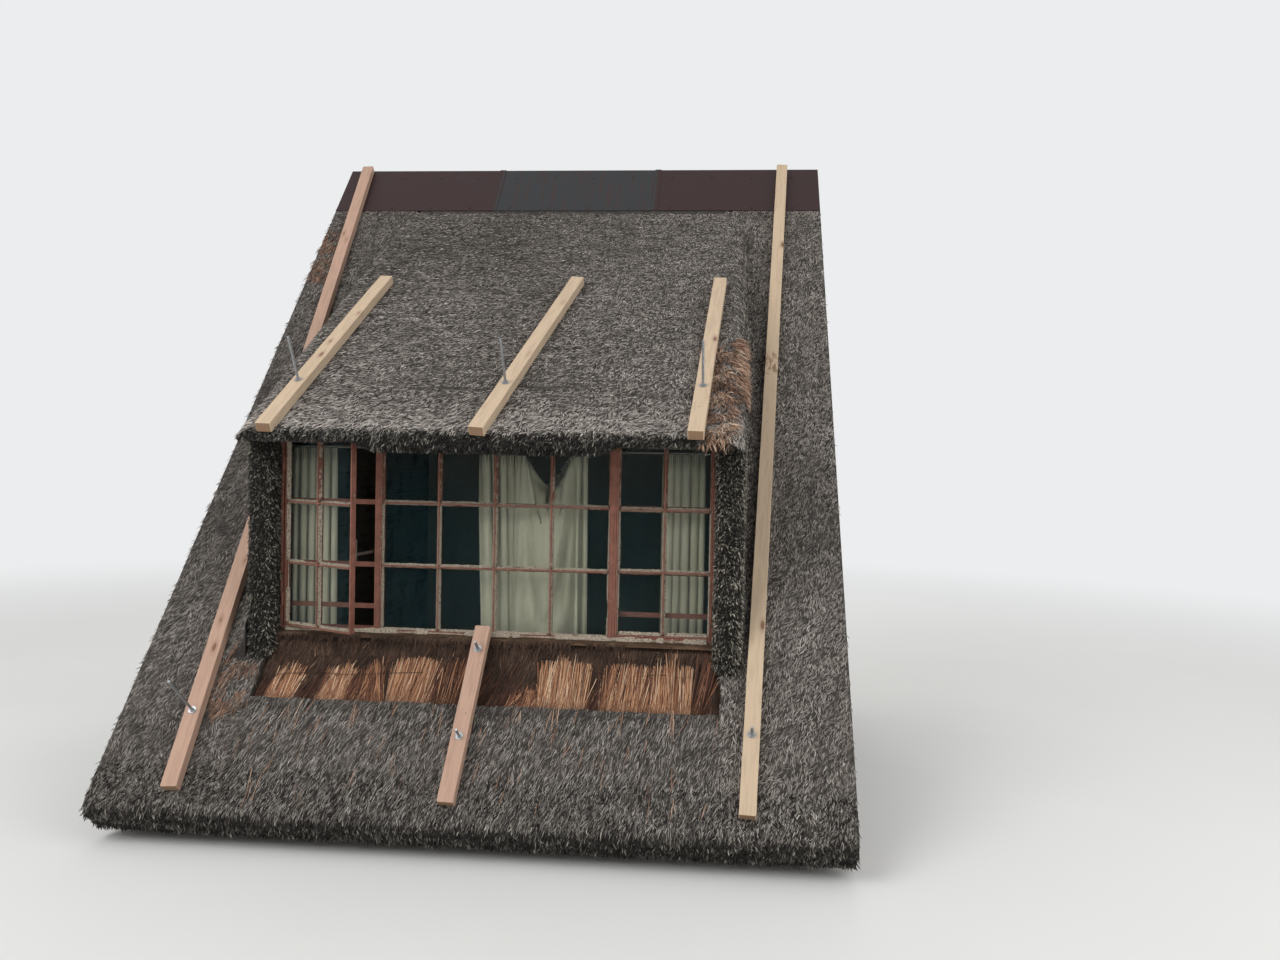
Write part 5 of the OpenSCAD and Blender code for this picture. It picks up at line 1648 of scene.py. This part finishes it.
def set_stage():
    """Camera, floor, world and lamps."""
    s = settings("stage")
    scene = bpy.context.scene
    camera = bpy.data.objects.new("camera", bpy.data.cameras.new("camera"))
    scene.collection.objects.link(camera)
    camera.data.sensor_width = 36.0
    camera.data.lens = CAMERA_LENS
    turn = Matrix.Rotation(CAMERA_TURN, 4, "Z") @ Matrix.Rotation(CAMERA_TILT, 4, "X")
    camera.matrix_world = Matrix.Translation(CAMERA_PLACE) @ turn @ Matrix.Rotation(CAMERA_ROLL, 4, "Z")
    scene.camera = camera
    scene.view_settings.view_transform = "Standard"

    sky = Finish("soft_sky", "worlds", "Background", "World Output", Color=(1.0, 1.0, 1.0), Strength=s.sky_strength)
    scene.world = sky.material
    seen = sky.add("ShaderNodeBackground", 0, None, {"Color": tuple(s.sky)})
    ray, through, glossy = [sky.add("ShaderNodeLightPath", f"Is {kind} Ray") for kind in ("Camera", "Transmission", "Glossy")]
    shown = ray.math("MAXIMUM", through).math("MAXIMUM", glossy)
    sky.blend_shaders(shown, Value(sky, sky.shader.outputs[0]), seen)

    finish = Finish("pale_floor", Roughness=0.9, Specular_IOR_Level=0.1)
    place = finish.place()
    away = finish.add("ShaderNodeVectorMath", "Value", {"operation": "LENGTH"}, {0: place})
    cloudy = finish.noise(place, 0.7, 3.0)
    finish.shade(Base_Color=finish.tint(tuple(s.floor), 0.97 + cloudy * 0.06))
    far = finish.add("ShaderNodeEmission", 0, None, {"Color": tuple(s.sky), "Strength": 1.0})
    near = Value(finish, finish.shader.outputs["BSDF"])
    seen = finish.add("ShaderNodeLightPath", "Is Camera Ray")
    fade = away.over(4.5, 13.0) * seen
    finish.blend_shaders(fade, near, far)
    sides, rim = 96, 70.0
    ring = [(rim * math.cos(2 * math.pi * i / sides), rim * math.sin(2 * math.pi * i / sides), 0.0) for i in range(sides)]
    mesh = bpy.data.meshes.new("floor")
    mesh.from_pydata(ring, [], [tuple(range(sides))])
    mesh.materials.append(finish.material)
    floor = bpy.data.objects.new("floor", mesh)
    scene.collection.objects.link(floor)
    floor.location.z = -0.0005

    aim = Vector((0.0, -0.3, 1.9))
    for name, place, size, power in (("key_lamp", (-5.0, -7.5, 7.5), 6.0, s.key_power),
            ("fill_lamp", (7.0, -5.0, 4.5), 6.0, s.fill_power), ("back_lamp", (1.0, 8.0, 6.5), 6.0, s.fill_power)):
        lamp = bpy.data.objects.new(name, bpy.data.lights.new(name, "AREA"))
        lamp.data.size = size
        lamp.data.energy = power
        lamp.location = place
        lamp.rotation_euler = (aim - Vector(place)).to_track_quat("-Z", "Y").to_euler()
        scene.collection.objects.link(lamp)


# Operators

class DORMER_OT_stage(bpy.types.Operator):
    """Camera, pale floor, sky and lamps"""

    bl_idname = "dormer.stage"
    bl_label = "Stage"

    def execute(self, context):
        set_stage()
        return {"FINISHED"}


class DORMER_OT_timbers(bpy.types.Operator):
    """Finishes of rafters, laths, walls and floor"""

    bl_idname = "dormer.timbers"
    bl_label = "Timbers"

    def execute(self, context):
        finish_timbers()
        return {"FINISHED"}


class DORMER_OT_metal(bpy.types.Operator):
    """Finishes of capping, fittings and rods"""

    bl_idname = "dormer.metal"
    bl_label = "Metal"

    def execute(self, context):
        finish_metal()
        return {"FINISHED"}


class DORMER_OT_window(bpy.types.Operator):
    """Paint, glass and putty"""

    bl_idname = "dormer.window"
    bl_label = "Window"

    def execute(self, context):
        finish_window()
        lay_putty()
        return {"FINISHED"}


class DORMER_OT_curtains(bpy.types.Operator):
    """Three curtains and their rings"""

    bl_idname = "dormer.curtains"
    bl_label = "Curtains"

    def execute(self, context):
        hang_curtains()
        return {"FINISHED"}


class DORMER_OT_bed(bpy.types.Operator):
    """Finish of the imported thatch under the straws"""

    bl_idname = "dormer.bed"
    bl_label = "Packed thatch"

    def execute(self, context):
        finish_thatch()
        return {"FINISHED"}


class DORMER_OT_roof(bpy.types.Operator):
    """Straw ends on the dormer's roof"""

    bl_idname = "dormer.roof"
    bl_label = "Dormer roof straw"

    def execute(self, context):
        lay_dormer_roof()
        return {"FINISHED"}


class DORMER_OT_eaves(bpy.types.Operator):
    """Cut straw ends along both eaves"""

    bl_idname = "dormer.eaves"
    bl_label = "Eaves"

    def execute(self, context):
        lay_eaves()
        return {"FINISHED"}


class DORMER_OT_slopes(bpy.types.Operator):
    """Straw ends on the main roof"""

    bl_idname = "dormer.slopes"
    bl_label = "Main roof straw"

    def execute(self, context):
        lay_slopes()
        return {"FINISHED"}


class DORMER_OT_apron(bpy.types.Operator):
    """Grey coat, bare reed, rotten band and binding wire"""

    bl_idname = "dormer.apron"
    bl_label = "Apron"

    def execute(self, context):
        lay_apron()
        lay_bare_reed()
        lay_rotten_band()
        bind_reed()
        return {"FINISHED"}


class DORMER_OT_cheeks(bpy.types.Operator):
    """Straw on the cheeks"""

    bl_idname = "dormer.cheeks"
    bl_label = "Cheeks"

    def execute(self, context):
        lay_cheeks()
        return {"FINISHED"}


class DORMER_OT_loose(bpy.types.Operator):
    """Torn patches and loose straws"""

    bl_idname = "dormer.loose"
    bl_label = "Loose straw"

    def execute(self, context):
        lay_loose()
        return {"FINISHED"}


class DORMER_OT_battens(bpy.types.Operator):
    """Pine battens, their nails and the rods' threads"""

    bl_idname = "dormer.battens"
    bl_label = "Battens"

    def execute(self, context):
        lay_battens()
        thread_rods()
        return {"FINISHED"}


class DORMER_OT_capping(bpy.types.Operator):
    """Nails and drip edge of the capping"""

    bl_idname = "dormer.capping"
    bl_label = "Capping nails"

    def execute(self, context):
        nail_capping()
        return {"FINISHED"}


OPERATORS = (DORMER_OT_stage, DORMER_OT_timbers, DORMER_OT_metal, DORMER_OT_window, DORMER_OT_curtains,
    DORMER_OT_bed, DORMER_OT_roof, DORMER_OT_eaves, DORMER_OT_slopes, DORMER_OT_apron, DORMER_OT_cheeks,
    DORMER_OT_loose, DORMER_OT_battens, DORMER_OT_capping)


class DORMER_PT_panel(bpy.types.Panel):
    """The settings and the steps that dress the dormer."""

    bl_idname = "DORMER_PT_panel"
    bl_label = "Thatched dormer"
    bl_space_type = "VIEW_3D"
    bl_region_type = "UI"
    bl_category = "Dormer"

    def draw(self, context):
        for group, kind in GROUPS.items():
            box = self.layout.box()
            box.label(text=group.capitalize())
            for name in kind.__annotations__:
                box.prop(settings(group), name)
        for kind in OPERATORS:
            self.layout.operator(kind.bl_idname)


GROUPS = {"thatch": ThatchSettings, "window": WindowSettings, "batten": BattenSettings, "stage": StageSettings}


def register():
    for kind in (*GROUPS.values(), *OPERATORS, DORMER_PT_panel):
        bpy.utils.register_class(kind)
    for group, kind in GROUPS.items():
        setattr(bpy.types.Scene, "dormer_" + group, PointerProperty(type=kind))


def unregister():
    for group in GROUPS:
        delattr(bpy.types.Scene, "dormer_" + group)
    for kind in reversed((*GROUPS.values(), *OPERATORS, DORMER_PT_panel)):
        bpy.utils.unregister_class(kind)


def main():
    register()
    for kind in OPERATORS:
        group, name = kind.bl_idname.split(".")
        getattr(getattr(bpy.ops, group), name)()
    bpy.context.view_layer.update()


if __name__ == "__main__":
    main()
